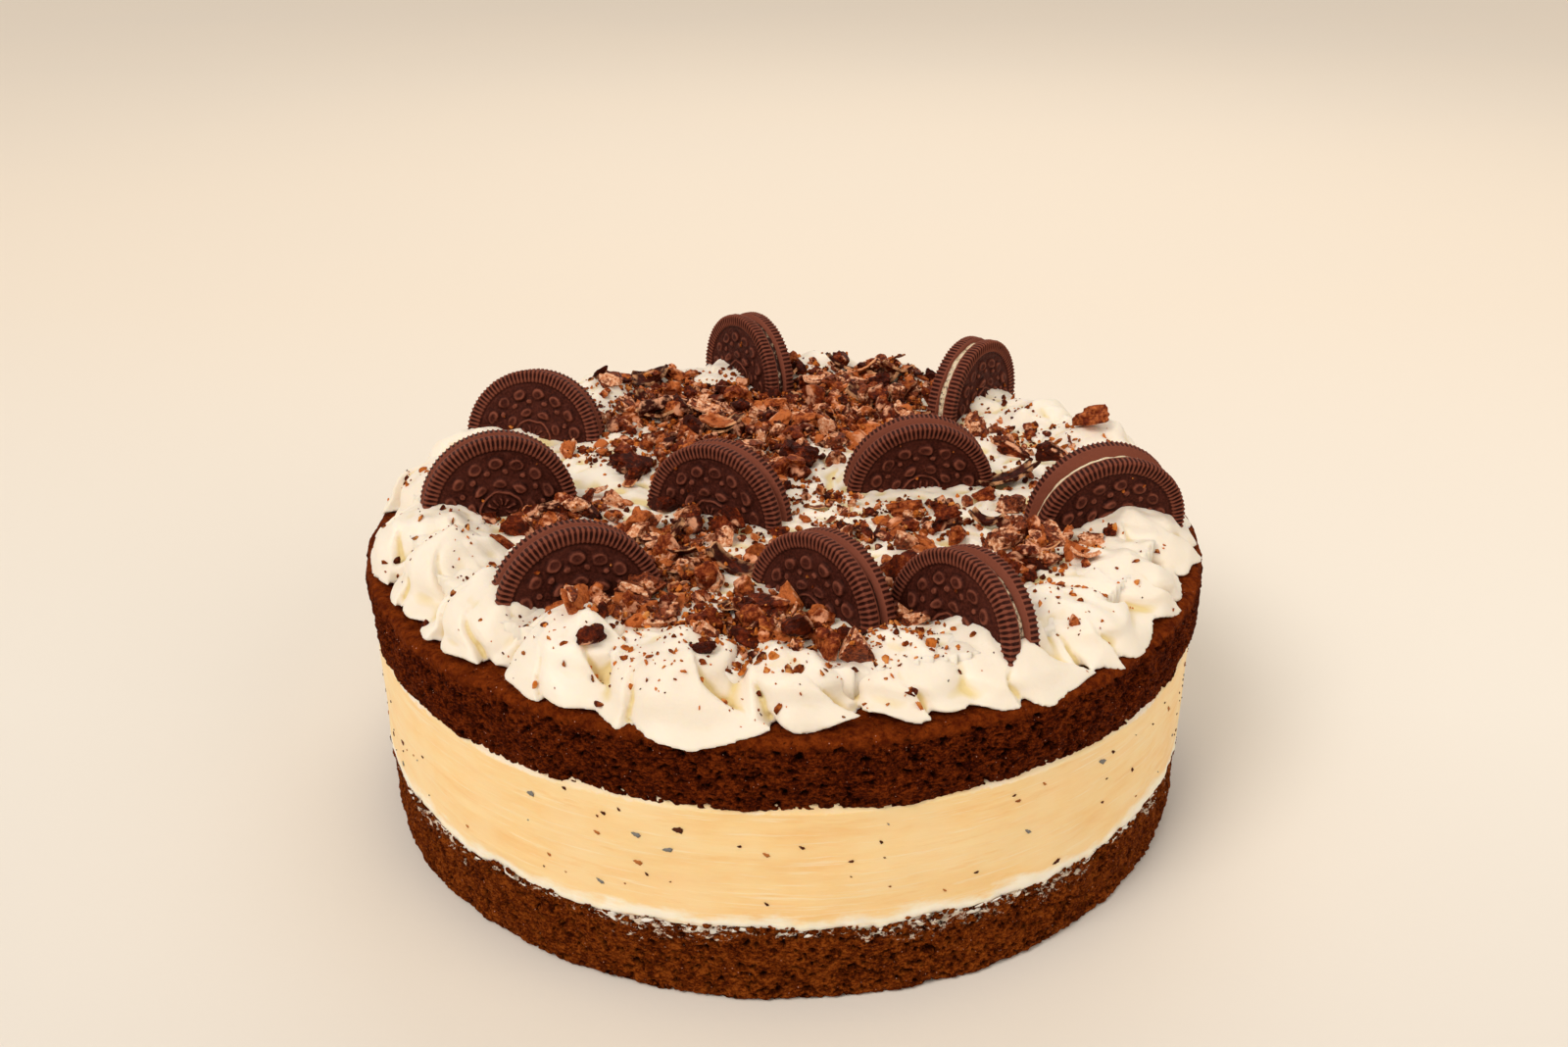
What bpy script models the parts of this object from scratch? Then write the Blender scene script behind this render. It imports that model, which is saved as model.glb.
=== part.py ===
# A round frozen layer cake: chocolate sponge, a thick band of ice cream, chocolate sponge,
# a whipped-cream top with a piped border, crumbled chocolate and ten sandwich cookies stood in it.
# Metres, +Z up, origin at the centre of the flat base. -Y is the front.

import math
import random

import bmesh
import bpy
from mathutils import Matrix, Vector, noise

# Driving dimensions
GAP = 0.0003
FLAT_ANGLE = math.radians(0.3)
CREAM_FLAT_ANGLE = math.radians(5.0)
LAYER_SMOOTH_ANGLE = math.radians(35)
WAFER_SMOOTH_ANGLE = math.radians(30)
CREAM_SMOOTH_ANGLE = math.radians(40)
CAKE_RADIUS = 0.115
LOWER_SPONGE_TOP = 0.0203
ICE_CREAM_TOP = 0.0542
UPPER_SPONGE_TOP = 0.0737
LAYER_STEPS = 56

# Sponge: how far its side swells, how deep the crags in it go, and its rounded edges
SPONGE_INSET = 0.0004
UPPER_SWELL = 0.0010
CRAG_DEPTH = 0.0011
CRAG_SIZE = 0.011
CRAG_BELT = 0.97
SPONGE_EDGE = 0.0014
LOWER_SPONGE_EDGE = 0.0008
ICE_CREAM_EDGE = 0.0005

# The line where two layers meet rises and falls near the rim, and is level further in
LOWER_SEAM_WAVE = 0.0012
UPPER_SEAM_WAVE = 0.0004
SEAM_WAVE_SIZE = 0.013
SEAM_WAVE_GAIN = 1.6
SEAM_LEVEL_INSIDE = 0.90
SEAM_REACH = 0.0012

# Whipped cream: the bed that covers the sponge, and the piped border
BED_RADIUS = 0.106
BED_TOP = 0.0805
BED_WAVE = 0.0013
BED_WAVE_SIZE = 0.016
BED_STEPS = 32
BED_RINGS = (0.0, 0.22, 0.42, 0.62, 0.80, 0.93)
BED_EDGE_DROP = 0.003
BED_EDGE_INSET = 0.002
SWIRL_RING_RADIUS = 0.0975
SWIRL_RING_STRAY = 0.0012
SWIRL_RADIUS = 0.0185
SWIRL_RADIUS_RANGE = (0.93, 1.07)
SWIRL_HEIGHT = 0.0152
SWIRL_HEIGHT_RANGE = (0.86, 1.08)
SWIRL_TIP_LEAN = 0.003
SWIRL_LOBES = 5
SWIRL_GROOVE = 0.28
SWIRL_GROOVE_SAG = 0.12
SWIRL_TWIST = math.radians(-42)
SWIRL_ANGLES = (-104, -89, -75, -61, -46, -30, -14, 3, 20, 35, 50, 66, 82, 98, 113, 129, 145, 161, 177, 193,
                208, 224, 240)
# Height up the swirl, and its share of the full radius there
SWIRL_OUTLINE = ((0.0, 0.88), (0.13, 1.05), (0.42, 0.80), (0.80, 0.50))
# How far a swirl reaches on average, against its radius
SWIRL_MEAN_REACH = 0.88
# A lobe's width against the mean, how far it reaches, and where it is sampled from one groove on
LOBE_WIDTHS = (0.60, 1.40)
LOBE_REACHES = (0.88, 1.08)
LOBE_SAMPLES = (0.0, 0.32, 0.86)
LOBE_BACK = 0.42
LOBE_ROUNDNESS = 0.7
# Past this radius the skirt is drawn back towards the rim
SKIRT_RADIUS = 0.1125
SKIRT_PULL = 0.30

# Sandwich cookies
COOKIE_RADIUS = 0.0213
WAFER_THICKNESS = 0.0037
FILLING_THICKNESS = 0.0018
FILLING_RADIUS = 0.0198
WAFER_RIM_WIDTH = 0.0042
WAFER_RIM_SLOPE = 0.0006
WAFER_EDGE = 0.0009
WAFER_FACE_DEPTH = 0.0005
COOKIE_STEPS = 24
CUTTER_WIDTH = 0.3
CUTTER_DEPTH = 0.04
SPLAYED_ROOM = 0.002
# Place of the centre, the way the front wafer faces (0 is the front, 90 is +X), its lean back,
# and how far the back wafer has come away at the top; metres and degrees
COOKIES = (
    (-0.0120, 0.0925, 0.0828, -57, 3, 0),
    (0.0611, 0.0700, 0.0816, 54, 1, 0),
    (-0.0770, 0.0445, 0.0797, -11, 16, 0),
    (-0.0785, -0.0122, 0.0819, 18, 6, 0),
    (-0.0180, -0.0130, 0.0795, -30, 6, 0),
    (0.0385, 0.0060, 0.0799, 7, -4, 1),
    (0.0875, -0.0186, 0.0805, 12, -7, 5),
    (-0.0505, -0.0657, 0.0798, 22, 7, 0),
    (0.0087, -0.0665, 0.0778, -46, 9, 0),
    (0.0416, -0.0780, 0.0788, -53, 10, 1),
)

# Crumble: the largest pieces, each with its place, length and width, in millimetres
LARGE_CHUNKS = (
    (16, -97, 8, 7), (14, -88, 10, 6), (-5, -74, 15, 8), (-44, -93, 6, 5), (3, -84, 9, 7), (-7, -90, 9, 5),
    (-29, -44, 9, 8), (-34, -64, 10, 7), (-30, -79, 7, 6), (31, -53, 10, 9), (70, -34, 11, 8), (66, -48, 8, 6),
    (57, -39, 9, 7), (62, -13, 8, 6), (33, -15, 9, 6), (69, 26, 8, 6), (80, 24, 11, 7), (93, 33, 10, 7),
    (6, 20, 9, 8), (-44, 14, 10, 8), (-62, -24, 9, 5), (-70, -28, 11, 6), (-47, -10, 7, 5), (-56, 90, 12, 6),
    (-50, 62, 8, 7),
)
LARGE_SHARDS = (
    (-13, -51, 14, 6), (-32, -35, 13, 7), (54, -26, 9, 4), (64, 6, 18, 6), (16, 77, 16, 8), (27, 68, 14, 7),
    (8, 65, 13, 7), (20, 90, 13, 6), (37, 82, 12, 7), (48, 58, 13, 6), (-44, 80, 12, 8), (-40, 50, 12, 6),
    (-2, 84, 12, 6), (30, 78, 15, 7),
)
CHUNK_RISE = 0.62
CHUNK_FLATNESS = 0.78
CHUNK_UNEVEN = (0.80, 1.14)
CHUNK_TILT = 0.35
SHARD_THICKNESS = 0.0014
SHARD_RISE = 0.0026
SHARD_TILT = 0.45
SHARD_TAPER = (0.55, 1.1)
# The heaps round them as (x, y, spread, smaller pieces), metres
HEAPS = (
    (0.022, 0.072, 0.026, 10),
    (-0.030, 0.060, 0.026, 9),
    (-0.024, 0.030, 0.020, 7),
    (0.010, 0.036, 0.016, 4),
    (0.062, 0.034, 0.012, 2),
    (-0.058, -0.020, 0.014, 3),
    (0.064, -0.042, 0.012, 2),
    (-0.026, -0.060, 0.018, 6),
    (-0.004, -0.084, 0.012, 3),
    (0.040, -0.030, 0.018, 3),
)
HEAP_RISE = 0.0016
HEAP_STRAY = 0.6
HEAP_TRIES = 30
SMALL_CHUNK_SIZE = (0.0026, 0.0038)
CRUMBLE_REACH = 0.097
CRUMBLE_CLEARANCE = 0.0008
CRUMBLE_SPACING = 0.95


def clear_scene():
    for obj in list(bpy.data.objects):
        bpy.data.objects.remove(obj, do_unlink=True)


def new_collection(name):
    collection = bpy.data.collections.new(name)
    bpy.context.scene.collection.children.link(collection)
    return collection


def new_material(name, colour, roughness):
    material = bpy.data.materials.new(name)
    material.use_nodes = True
    shader = material.node_tree.nodes["Principled BSDF"]
    shader.inputs["Base Color"].default_value = (*colour, 1.0)
    shader.inputs["Roughness"].default_value = roughness
    shader.inputs["Metallic"].default_value = 0.0
    return material


def add_object(name, mesh, collection, material=None):
    obj = bpy.data.objects.new(name, mesh)
    collection.objects.link(obj)
    if material is not None:
        mesh.materials.append(material)
    return obj


def round_shading(obj, angle):
    obj.data.shade_smooth()
    obj.data.set_sharp_from_angle(angle=angle)


def applied(obj):
    # Swaps the object's mesh for the one that its modifiers make
    bpy.context.view_layer.update()
    graph = bpy.context.evaluated_depsgraph_get()
    mesh = bpy.data.meshes.new_from_object(obj.evaluated_get(graph))
    obj.modifiers.clear()
    obj.data = mesh
    return obj


def merge_flat_faces(obj, angle=FLAT_ANGLE):
    # Faces that lie nearly level with each other become one, then all are cut to triangles
    shape = bmesh.new()
    shape.from_mesh(obj.data)
    bmesh.ops.dissolve_limit(shape, angle_limit=angle, verts=shape.verts[:], edges=shape.edges[:])
    bmesh.ops.triangulate(shape, faces=shape.faces[:])
    shape.to_mesh(obj.data)
    shape.free()


def turned(name, profile, steps, collection, material=None):
    # A profile of (radius, height), down the outer side, turned once round Z
    mesh = bpy.data.meshes.new(name)
    shape = bmesh.new()
    points = [shape.verts.new((radius, 0.0, height)) for radius, height in profile]
    for first, second in zip(points, points[1:]):
        shape.edges.new((first, second))
    shape.to_mesh(mesh)
    shape.free()
    obj = add_object(name, mesh, collection, material)
    screw = obj.modifiers.new("Turn", "SCREW")
    screw.axis = "Z"
    screw.steps = steps
    screw.render_steps = steps
    screw.use_merge_vertices = True
    screw.merge_threshold = 0.00005
    return obj


# Sponge and ice cream

def seam_wave(point, depth, seed):
    # Height of the seam above its mean level, nothing in the middle and full at the rim
    radius = math.hypot(point.x, point.y)
    share = (radius / CAKE_RADIUS - SEAM_LEVEL_INSIDE) / (1.0 - SEAM_LEVEL_INSIDE)
    share = min(max(share, 0.0), 1.0)
    angle = math.atan2(point.y, point.x)
    place = Vector((math.cos(angle), math.sin(angle), seed)) * (CAKE_RADIUS / SEAM_WAVE_SIZE)
    return SEAM_WAVE_GAIN * depth * share * noise.noise(place)


def crag(point, seed):
    place = Vector((point.x, point.y, point.z)) / CRAG_SIZE + Vector((0.0, 0.0, seed))
    return CRAG_DEPTH * noise.noise(place)


def split_ring_quads(obj):
    # Cuts each level face between two rings the same way, so that two layers meet evenly
    shape = bmesh.new()
    shape.from_mesh(obj.data)
    for face in [face for face in shape.faces if len(face.verts) == 4]:
        corners = sorted(face.verts, key=lambda vertex: math.hypot(vertex.co.x, vertex.co.y))
        level = max(vertex.co.z for vertex in corners) - min(vertex.co.z for vertex in corners) < SEAM_REACH
        inner, outer = corners[:2], corners[2:]
        if not level or (outer[0].co.xy.length - inner[0].co.xy.length) < SEAM_REACH / 2:
            continue
        if inner[0].co.xy.cross(inner[1].co.xy) < 0:
            inner.reverse()
        if outer[0].co.xy.cross(outer[1].co.xy) < 0:
            outer.reverse()
        bmesh.utils.face_split(face, inner[0], outer[1])
    shape.to_mesh(obj.data)
    shape.free()


def shape_layer(obj, lower_seam, upper_seam, craggy, seed):
    # Each seam is (height, wave depth, seed), or None where the layer ends flat
    applied(obj)
    split_ring_quads(obj)
    side = CAKE_RADIUS * CRAG_BELT
    for vertex in obj.data.vertices:
        place = vertex.co
        for seam in (lower_seam, upper_seam):
            if seam is not None and abs(place.z - seam[0]) < SEAM_REACH:
                place.z += seam_wave(place, seam[1], seam[2])
        radius = math.hypot(place.x, place.y)
        if craggy and radius > side:
            scale = 1.0 + crag(place, seed) / radius
            place.x *= scale
            place.y *= scale
    merge_flat_faces(obj)
    round_shading(obj, LAYER_SMOOTH_ANGLE)


def layer_profile(bottom, top, radii, corner):
    # Down the side from the middle of the top to the middle of the bottom
    rows = len(radii)
    profile = [(0.0, top), (CAKE_RADIUS * SEAM_LEVEL_INSIDE, top), (radii[0] - corner, top)]
    first = top - corner
    last = bottom + corner * 0.5
    for row, radius in enumerate(radii):
        profile.append((radius, first + (last - first) * row / (rows - 1)))
    profile += [(radii[-1] - corner * 0.6, bottom), (CAKE_RADIUS * SEAM_LEVEL_INSIDE, bottom), (0.0, bottom)]
    return profile


def make_layers(parts, materials):
    lower_seam = (LOWER_SPONGE_TOP, LOWER_SEAM_WAVE, 1.3)
    upper_seam = (ICE_CREAM_TOP, UPPER_SEAM_WAVE, 4.7)
    sponge_radius = CAKE_RADIUS - SPONGE_INSET
    profile = layer_profile(0.0, LOWER_SPONGE_TOP, (sponge_radius,) * 4, LOWER_SPONGE_EDGE)
    lower = turned("sponge_bottom", profile, LAYER_STEPS, parts, materials["lower sponge"])
    shape_layer(lower, None, lower_seam, True, 11.0)
    profile = layer_profile(LOWER_SPONGE_TOP + GAP, ICE_CREAM_TOP, (CAKE_RADIUS,) * 3, ICE_CREAM_EDGE)
    filling = turned("ice_cream", profile, LAYER_STEPS, parts, materials["ice cream"])
    shape_layer(filling, lower_seam, upper_seam, False, 0.0)
    radii = (CAKE_RADIUS + UPPER_SWELL * 0.3, CAKE_RADIUS + UPPER_SWELL, CAKE_RADIUS + UPPER_SWELL,
             CAKE_RADIUS + UPPER_SWELL * 0.8)
    profile = layer_profile(ICE_CREAM_TOP + GAP, UPPER_SPONGE_TOP, radii, SPONGE_EDGE)
    upper = turned("sponge_top", profile, LAYER_STEPS, parts, materials["upper sponge"])
    shape_layer(upper, upper_seam, None, True, 23.0)


# Cookies

def cookie_frames(collection):
    frames = []
    for number, (x, y, z, facing, lean, splay) in enumerate(COOKIES, start=1):
        empty = bpy.data.objects.new(f"cookie_{number:02d}", None)
        empty.location = (x, y, z)
        empty.rotation_euler = (math.pi / 2 - math.radians(lean), 0.0, math.radians(facing))
        collection.objects.link(empty)
        frames.append((empty, math.radians(splay)))
    return frames


def wafer_profile():
    # Face up: a raised rim round a slightly sunk face, and a flat back
    face = WAFER_THICKNESS - WAFER_FACE_DEPTH
    rim = COOKIE_RADIUS - WAFER_RIM_WIDTH
    return ((0.0, face), (rim - WAFER_RIM_SLOPE, face), (rim, WAFER_THICKNESS),
            (COOKIE_RADIUS - WAFER_EDGE, WAFER_THICKNESS), (COOKIE_RADIUS, WAFER_THICKNESS - WAFER_EDGE),
            (COOKIE_RADIUS, 0.0), (0.0, 0.0))


def filling_profile():
    half = FILLING_THICKNESS / 2
    return ((0.0, half), (FILLING_RADIUS, half), (FILLING_RADIUS, -half), (0.0, -half))


def back_wafer_place(splay):
    # The back wafer is turned over, and leans away from the filling about its lowest point
    half = FILLING_THICKNESS / 2 + GAP
    hinge = Vector((0.0, -COOKIE_RADIUS, -half))
    turn = Matrix.Rotation(-splay, 4, "X")
    over = Matrix.Rotation(math.pi, 4, "Y")
    return Matrix.Translation(hinge) @ turn @ Matrix.Translation(-hinge) @ Matrix.Translation((0, 0, -half)) @ over


def cut_below_cream(obj, cutter):
    # A cookie goes no deeper than the top of the sponge
    cut = obj.modifiers.new("Stand on sponge", "BOOLEAN")
    cut.operation = "DIFFERENCE"
    cut.solver = "EXACT"
    cut.object = cutter


def make_cookies(frames, parts, materials, ground):
    for number, (empty, splay) in enumerate(frames, start=1):
        half = FILLING_THICKNESS / 2 + GAP
        pieces = (
            ("front_wafer", wafer_profile(), Matrix.Translation((0, 0, half)), "wafer"),
            ("filling", filling_profile(), Matrix.Identity(4), "cookie filling"),
            ("back_wafer", wafer_profile(), back_wafer_place(splay), "wafer"),
        )
        for word, profile, place, finish in pieces:
            piece = turned(f"cookie_{number:02d}_{word}", profile, COOKIE_STEPS, parts, materials[finish])
            piece.parent = empty
            piece.matrix_local = place
            applied(piece)
            cut_below_cream(piece, ground)
            merge_flat_faces(applied(piece))
            round_shading(piece, WAFER_SMOOTH_ANGLE)


def make_ground_cutter(cutters):
    # Everything up to just above the upper sponge
    top = UPPER_SPONGE_TOP + GAP
    bpy.ops.mesh.primitive_cube_add(size=1.0, location=(0.0, 0.0, (top - CUTTER_DEPTH) / 2))
    cutter = bpy.context.object
    cutter.name = "below_cream"
    cutter.scale = (CUTTER_WIDTH, CUTTER_WIDTH, top + CUTTER_DEPTH)
    for collection in cutter.users_collection:
        collection.objects.unlink(cutter)
    cutters.objects.link(cutter)
    hide_cutter(cutter)
    return cutter


def hide_cutter(obj):
    obj.hide_render = True
    obj.display_type = "WIRE"


def make_pockets(frames, pockets):
    # The room that the cream leaves for each cookie
    half = FILLING_THICKNESS / 2 + GAP + WAFER_THICKNESS + GAP
    radius = COOKIE_RADIUS + GAP
    for number, (empty, splay) in enumerate(frames, start=1):
        opened = 2 * COOKIE_RADIUS * math.sin(splay)
        profile = ((0.0, half), (radius, half), (radius, -half - opened), (0.0, -half - opened))
        pocket = turned(f"pocket_{number:02d}", profile, COOKIE_STEPS, pockets)
        pocket.parent = empty
        applied(pocket)
        hide_cutter(pocket)


# Whipped cream and crumble

def heap_rise(x, y):
    rise = 0.0
    for heap_x, heap_y, spread, _ in HEAPS:
        away = math.hypot(x - heap_x, y - heap_y) / spread
        rise = max(rise, HEAP_RISE * math.exp(-away * away))
    return rise


def bed_height(x, y):
    wave = noise.noise(Vector((x / BED_WAVE_SIZE, y / BED_WAVE_SIZE, 3.0)))
    return BED_TOP + BED_WAVE * wave + heap_rise(x, y)


def make_bed(pieces):
    bottom = UPPER_SPONGE_TOP + GAP
    rings = [(BED_RADIUS * share, BED_TOP) for share in BED_RINGS]
    profile = rings + [(BED_RADIUS, BED_TOP - BED_EDGE_DROP), (BED_RADIUS - BED_EDGE_INSET, bottom), (0.0, bottom)]
    bed = applied(turned("cream_bed", profile, BED_STEPS, pieces))
    for vertex in bed.data.vertices:
        if vertex.co.z > BED_TOP - BED_EDGE_DROP / 2:
            vertex.co.z = bed_height(vertex.co.x, vertex.co.y)
    return bed


def lobe_points(rng):
    # Lobes of uneven width and reach; each gives a groove and two points on its back
    widths = [rng.uniform(*LOBE_WIDTHS) for _ in range(SWIRL_LOBES)]
    reaches = [rng.uniform(*LOBE_REACHES) for _ in range(SWIRL_LOBES)]
    start = rng.uniform(0.0, math.tau)
    points = []
    for width, reach in zip(widths, reaches):
        span = width / sum(widths) * math.tau
        for share in LOBE_SAMPLES:
            points.append((start + span * share, reach, lobe_depth(share)))
        start += span
    return points


def lobe_depth(share):
    # Less in the groove, 1 on the broad back that follows, up to the next groove's steep side
    rise = math.sin(math.pi / 2 * min(share / LOBE_BACK, 1.0)) ** LOBE_ROUNDNESS
    return 1.0 - SWIRL_GROOVE * (1.0 - rise)


def draw_in(place):
    # The skirt hangs no further past the rim than cream holds
    reach = place.xy.length
    if reach > SKIRT_RADIUS:
        place.xy *= 1.0 - SKIRT_PULL * (reach - SKIRT_RADIUS) / reach
    return place


def make_swirl(number, angle, rng, pieces):
    radius = SWIRL_RADIUS * rng.uniform(*SWIRL_RADIUS_RANGE)
    height = SWIRL_HEIGHT * rng.uniform(*SWIRL_HEIGHT_RANGE)
    ring = SWIRL_RING_RADIUS + rng.uniform(-SWIRL_RING_STRAY, SWIRL_RING_STRAY)
    centre = Vector((ring * math.cos(angle), ring * math.sin(angle), UPPER_SPONGE_TOP + GAP))
    lean = [rng.uniform(-SWIRL_TIP_LEAN, SWIRL_TIP_LEAN) for _ in range(2)]
    tip_lean = Vector((lean[0], lean[1], 0.0))
    points = lobe_points(rng)
    shape = bmesh.new()
    rows = []
    for level, width in SWIRL_OUTLINE:
        row = []
        for lobe_angle, reach, depth in points:
            turn = lobe_angle + SWIRL_TWIST * level
            out = radius * width * reach * depth
            sag = -SWIRL_GROOVE_SAG * height * level * (1.0 - depth)
            offset = Vector((out * math.cos(turn), out * math.sin(turn), height * level + sag))
            row.append(shape.verts.new(draw_in(centre + offset + tip_lean * level * level)))
        rows.append(row)
    tip = shape.verts.new(centre + Vector((0.0, 0.0, height)) + tip_lean)
    count = len(points)
    shape.faces.new(list(reversed(rows[0])))
    for lower, upper in zip(rows, rows[1:]):
        for index in range(count):
            after = (index + 1) % count
            shape.faces.new((lower[index], lower[after], upper[after], upper[index]))
    for index in range(count):
        shape.faces.new((rows[-1][index], rows[-1][(index + 1) % count], tip))
    bmesh.ops.triangulate(shape, faces=shape.faces[:])
    bmesh.ops.recalc_face_normals(shape, faces=shape.faces[:])
    mesh = bpy.data.meshes.new(f"swirl_{number:02d}")
    shape.to_mesh(mesh)
    shape.free()
    return add_object(f"swirl_{number:02d}", mesh, pieces)


def near_cookie(point, size):
    for x, y, z, facing, lean, splay in COOKIES:
        facing = math.radians(facing)
        lean = math.radians(lean)
        normal = Vector((math.sin(facing) * math.cos(lean), -math.cos(facing) * math.cos(lean), math.sin(lean)))
        offset = point - Vector((x, y, z))
        along = abs(offset.dot(normal))
        across = (offset - normal * offset.dot(normal)).length
        thick = FILLING_THICKNESS / 2 + WAFER_THICKNESS + SPLAYED_ROOM * (splay > 2)
        if along < thick + size + CRUMBLE_CLEARANCE and across < COOKIE_RADIUS + size + CRUMBLE_CLEARANCE:
            return True
    return False


def lie_height(x, y):
    # The level that a piece lies on: the bed, or a swirl where one is higher
    outline = SWIRL_OUTLINE[1:] + ((1.0, 0.0),)
    best = 0.0
    for degrees in SWIRL_ANGLES:
        angle = math.radians(degrees)
        away = math.hypot(x - SWIRL_RING_RADIUS * math.cos(angle), y - SWIRL_RING_RADIUS * math.sin(angle))
        away /= SWIRL_RADIUS * SWIRL_MEAN_REACH
        for (low, wide), (high, narrow) in zip(outline, outline[1:]):
            if narrow <= away <= wide:
                best = max(best, low + (high - low) * (wide - away) / (wide - narrow))
    return max(bed_height(x, y), UPPER_SPONGE_TOP + GAP + SWIRL_HEIGHT * best)


def large_places(pieces, rise):
    # Millimetres to metres, each piece resting on the cream: place, half length and half width
    places = []
    for x, y, length, width in pieces:
        x, y, length, width = (value / 1000.0 for value in (x, y, length, width))
        places.append((Vector((x, y, lie_height(x, y) + rise(width))), length / 2, width / 2))
    return places


def small_places(rng, taken):
    # The heaps' smaller pieces, each clear of the cookies and of the pieces before it
    smallest, largest = SMALL_CHUNK_SIZE
    places = []
    for heap_x, heap_y, spread, count in HEAPS:
        found = 0
        for _ in range(count * HEAP_TRIES):
            if found == count:
                break
            x = rng.gauss(heap_x, spread * HEAP_STRAY)
            y = rng.gauss(heap_y, spread * HEAP_STRAY)
            size = largest - (largest - smallest) * found / count
            point = Vector((x, y, lie_height(x, y) + size * CHUNK_RISE))
            if math.hypot(x, y) > CRUMBLE_REACH or near_cookie(point, size):
                continue
            if any((point - other).length < (size + wide) * CRUMBLE_SPACING for other, _, wide in taken + places):
                continue
            places.append((point, size, size))
            found += 1
    return places


def make_chunk(name, place, rng, pieces):
    # An uneven lump, longer one way, turned any way on the level
    point, half_length, half_width = place
    shape = bmesh.new()
    bmesh.ops.create_icosphere(shape, subdivisions=1, radius=1.0)
    for vertex in shape.verts:
        vertex.co *= rng.uniform(*CHUNK_UNEVEN)
        vertex.co.x *= half_length
        vertex.co.y *= half_width
        vertex.co.z *= half_width * CHUNK_FLATNESS
    mesh = bpy.data.meshes.new(name)
    shape.to_mesh(mesh)
    shape.free()
    obj = add_object(name, mesh, pieces)
    obj.location = point
    obj.rotation_euler = [rng.uniform(-CHUNK_TILT, CHUNK_TILT) for _ in range(3)]
    return obj


def make_shard(name, place, rng, pieces):
    # A flat flake of chocolate with uneven ends, leaning in the heap
    point, half_length, half_width = place
    shape = bmesh.new()
    bmesh.ops.create_cube(shape, size=2.0)
    for vertex in shape.verts:
        vertex.co.x *= half_length * rng.uniform(*SHARD_TAPER)
        vertex.co.y *= half_width * rng.uniform(*SHARD_TAPER)
        vertex.co.z *= SHARD_THICKNESS / 2
    bmesh.ops.triangulate(shape, faces=shape.faces[:])
    mesh = bpy.data.meshes.new(name)
    shape.to_mesh(mesh)
    shape.free()
    obj = add_object(name, mesh, pieces)
    obj.location = point
    obj.rotation_euler = [rng.uniform(-SHARD_TILT, SHARD_TILT) for _ in range(3)]
    return obj


def keep_largest_body(obj):
    # Drops the loose scraps that a cut leaves
    shape = bmesh.new()
    shape.from_mesh(obj.data)
    unseen = set(shape.verts)
    bodies = []
    while unseen:
        front = [unseen.pop()]
        body = set(front)
        while front:
            vertex = front.pop()
            for edge in vertex.link_edges:
                other = edge.other_vert(vertex)
                if other in unseen:
                    unseen.discard(other)
                    body.add(other)
                    front.append(other)
        bodies.append(body)
    largest = max(bodies, key=len)
    for body in bodies:
        if body is not largest:
            bmesh.ops.delete(shape, geom=list(body), context="VERTS")
    shape.to_mesh(obj.data)
    shape.free()


def boolean_with_collection(obj, collection, operation):
    joint = obj.modifiers.new(operation.title(), "BOOLEAN")
    joint.operation = operation
    joint.solver = "EXACT"
    joint.operand_type = "COLLECTION"
    joint.collection = collection
    applied(obj)


def make_cream(parts, materials, pockets):
    rng = random.Random(20)
    pieces = new_collection("cream pieces")
    cream = make_bed(parts)
    cream.name = "whipped_cream"
    for number, degrees in enumerate(SWIRL_ANGLES, start=1):
        make_swirl(number, math.radians(degrees), rng, pieces)
    chunks = large_places(LARGE_CHUNKS, lambda width: width / 2 * CHUNK_RISE)
    shards = large_places(LARGE_SHARDS, lambda width: SHARD_RISE)
    chunks += small_places(rng, chunks + shards)
    for number, place in enumerate(chunks, start=1):
        make_chunk(f"chunk_{number:03d}", place, rng, pieces)
    for number, place in enumerate(shards, start=1):
        make_shard(f"shard_{number:03d}", place, rng, pieces)
    boolean_with_collection(cream, pieces, "UNION")
    for piece in list(pieces.objects):
        bpy.data.objects.remove(piece, do_unlink=True)
    bpy.data.collections.remove(pieces)
    boolean_with_collection(cream, pockets, "DIFFERENCE")
    for pocket in list(pockets.objects):
        bpy.data.objects.remove(pocket, do_unlink=True)
    bpy.data.collections.remove(pockets)
    keep_largest_body(cream)
    merge_flat_faces(cream, CREAM_FLAT_ANGLE)
    cream.data.materials.clear()
    cream.data.materials.append(materials["whipped cream"])
    round_shading(cream, CREAM_SMOOTH_ANGLE)


def main():
    clear_scene()
    parts = new_collection("frozen_layer_cake")
    cutters = new_collection("cutters")
    pockets = new_collection("pockets")
    materials = {
        "lower sponge": new_material("lower sponge", (0.105, 0.030, 0.009), 0.85),
        "upper sponge": new_material("upper sponge", (0.070, 0.018, 0.006), 0.85),
        "ice cream": new_material("ice cream", (0.86, 0.66, 0.40), 0.45),
        "whipped cream": new_material("whipped cream", (0.90, 0.84, 0.74), 0.50),
        "wafer": new_material("wafer", (0.045, 0.018, 0.016), 0.60),
        "cookie filling": new_material("cookie filling", (0.80, 0.68, 0.50), 0.50),
    }
    make_layers(parts, materials)
    frames = cookie_frames(parts)
    ground = make_ground_cutter(cutters)
    make_cookies(frames, parts, materials, ground)
    make_pockets(frames, pockets)
    make_cream(parts, materials, pockets)


main()
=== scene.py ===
import math
import random
import bpy
import numpy as np
from mathutils import Euler, Matrix, Vector, noise
from mathutils.bvhtree import BVHTree


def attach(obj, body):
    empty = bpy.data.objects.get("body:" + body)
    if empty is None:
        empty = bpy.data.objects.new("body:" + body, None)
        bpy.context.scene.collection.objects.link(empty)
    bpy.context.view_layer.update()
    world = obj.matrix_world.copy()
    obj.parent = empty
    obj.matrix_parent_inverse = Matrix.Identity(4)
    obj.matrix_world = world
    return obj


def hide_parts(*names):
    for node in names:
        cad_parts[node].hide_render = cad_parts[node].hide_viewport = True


# Frozen chocolate layer cake: the looks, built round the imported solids. Metres, -Y is the front.

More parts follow.
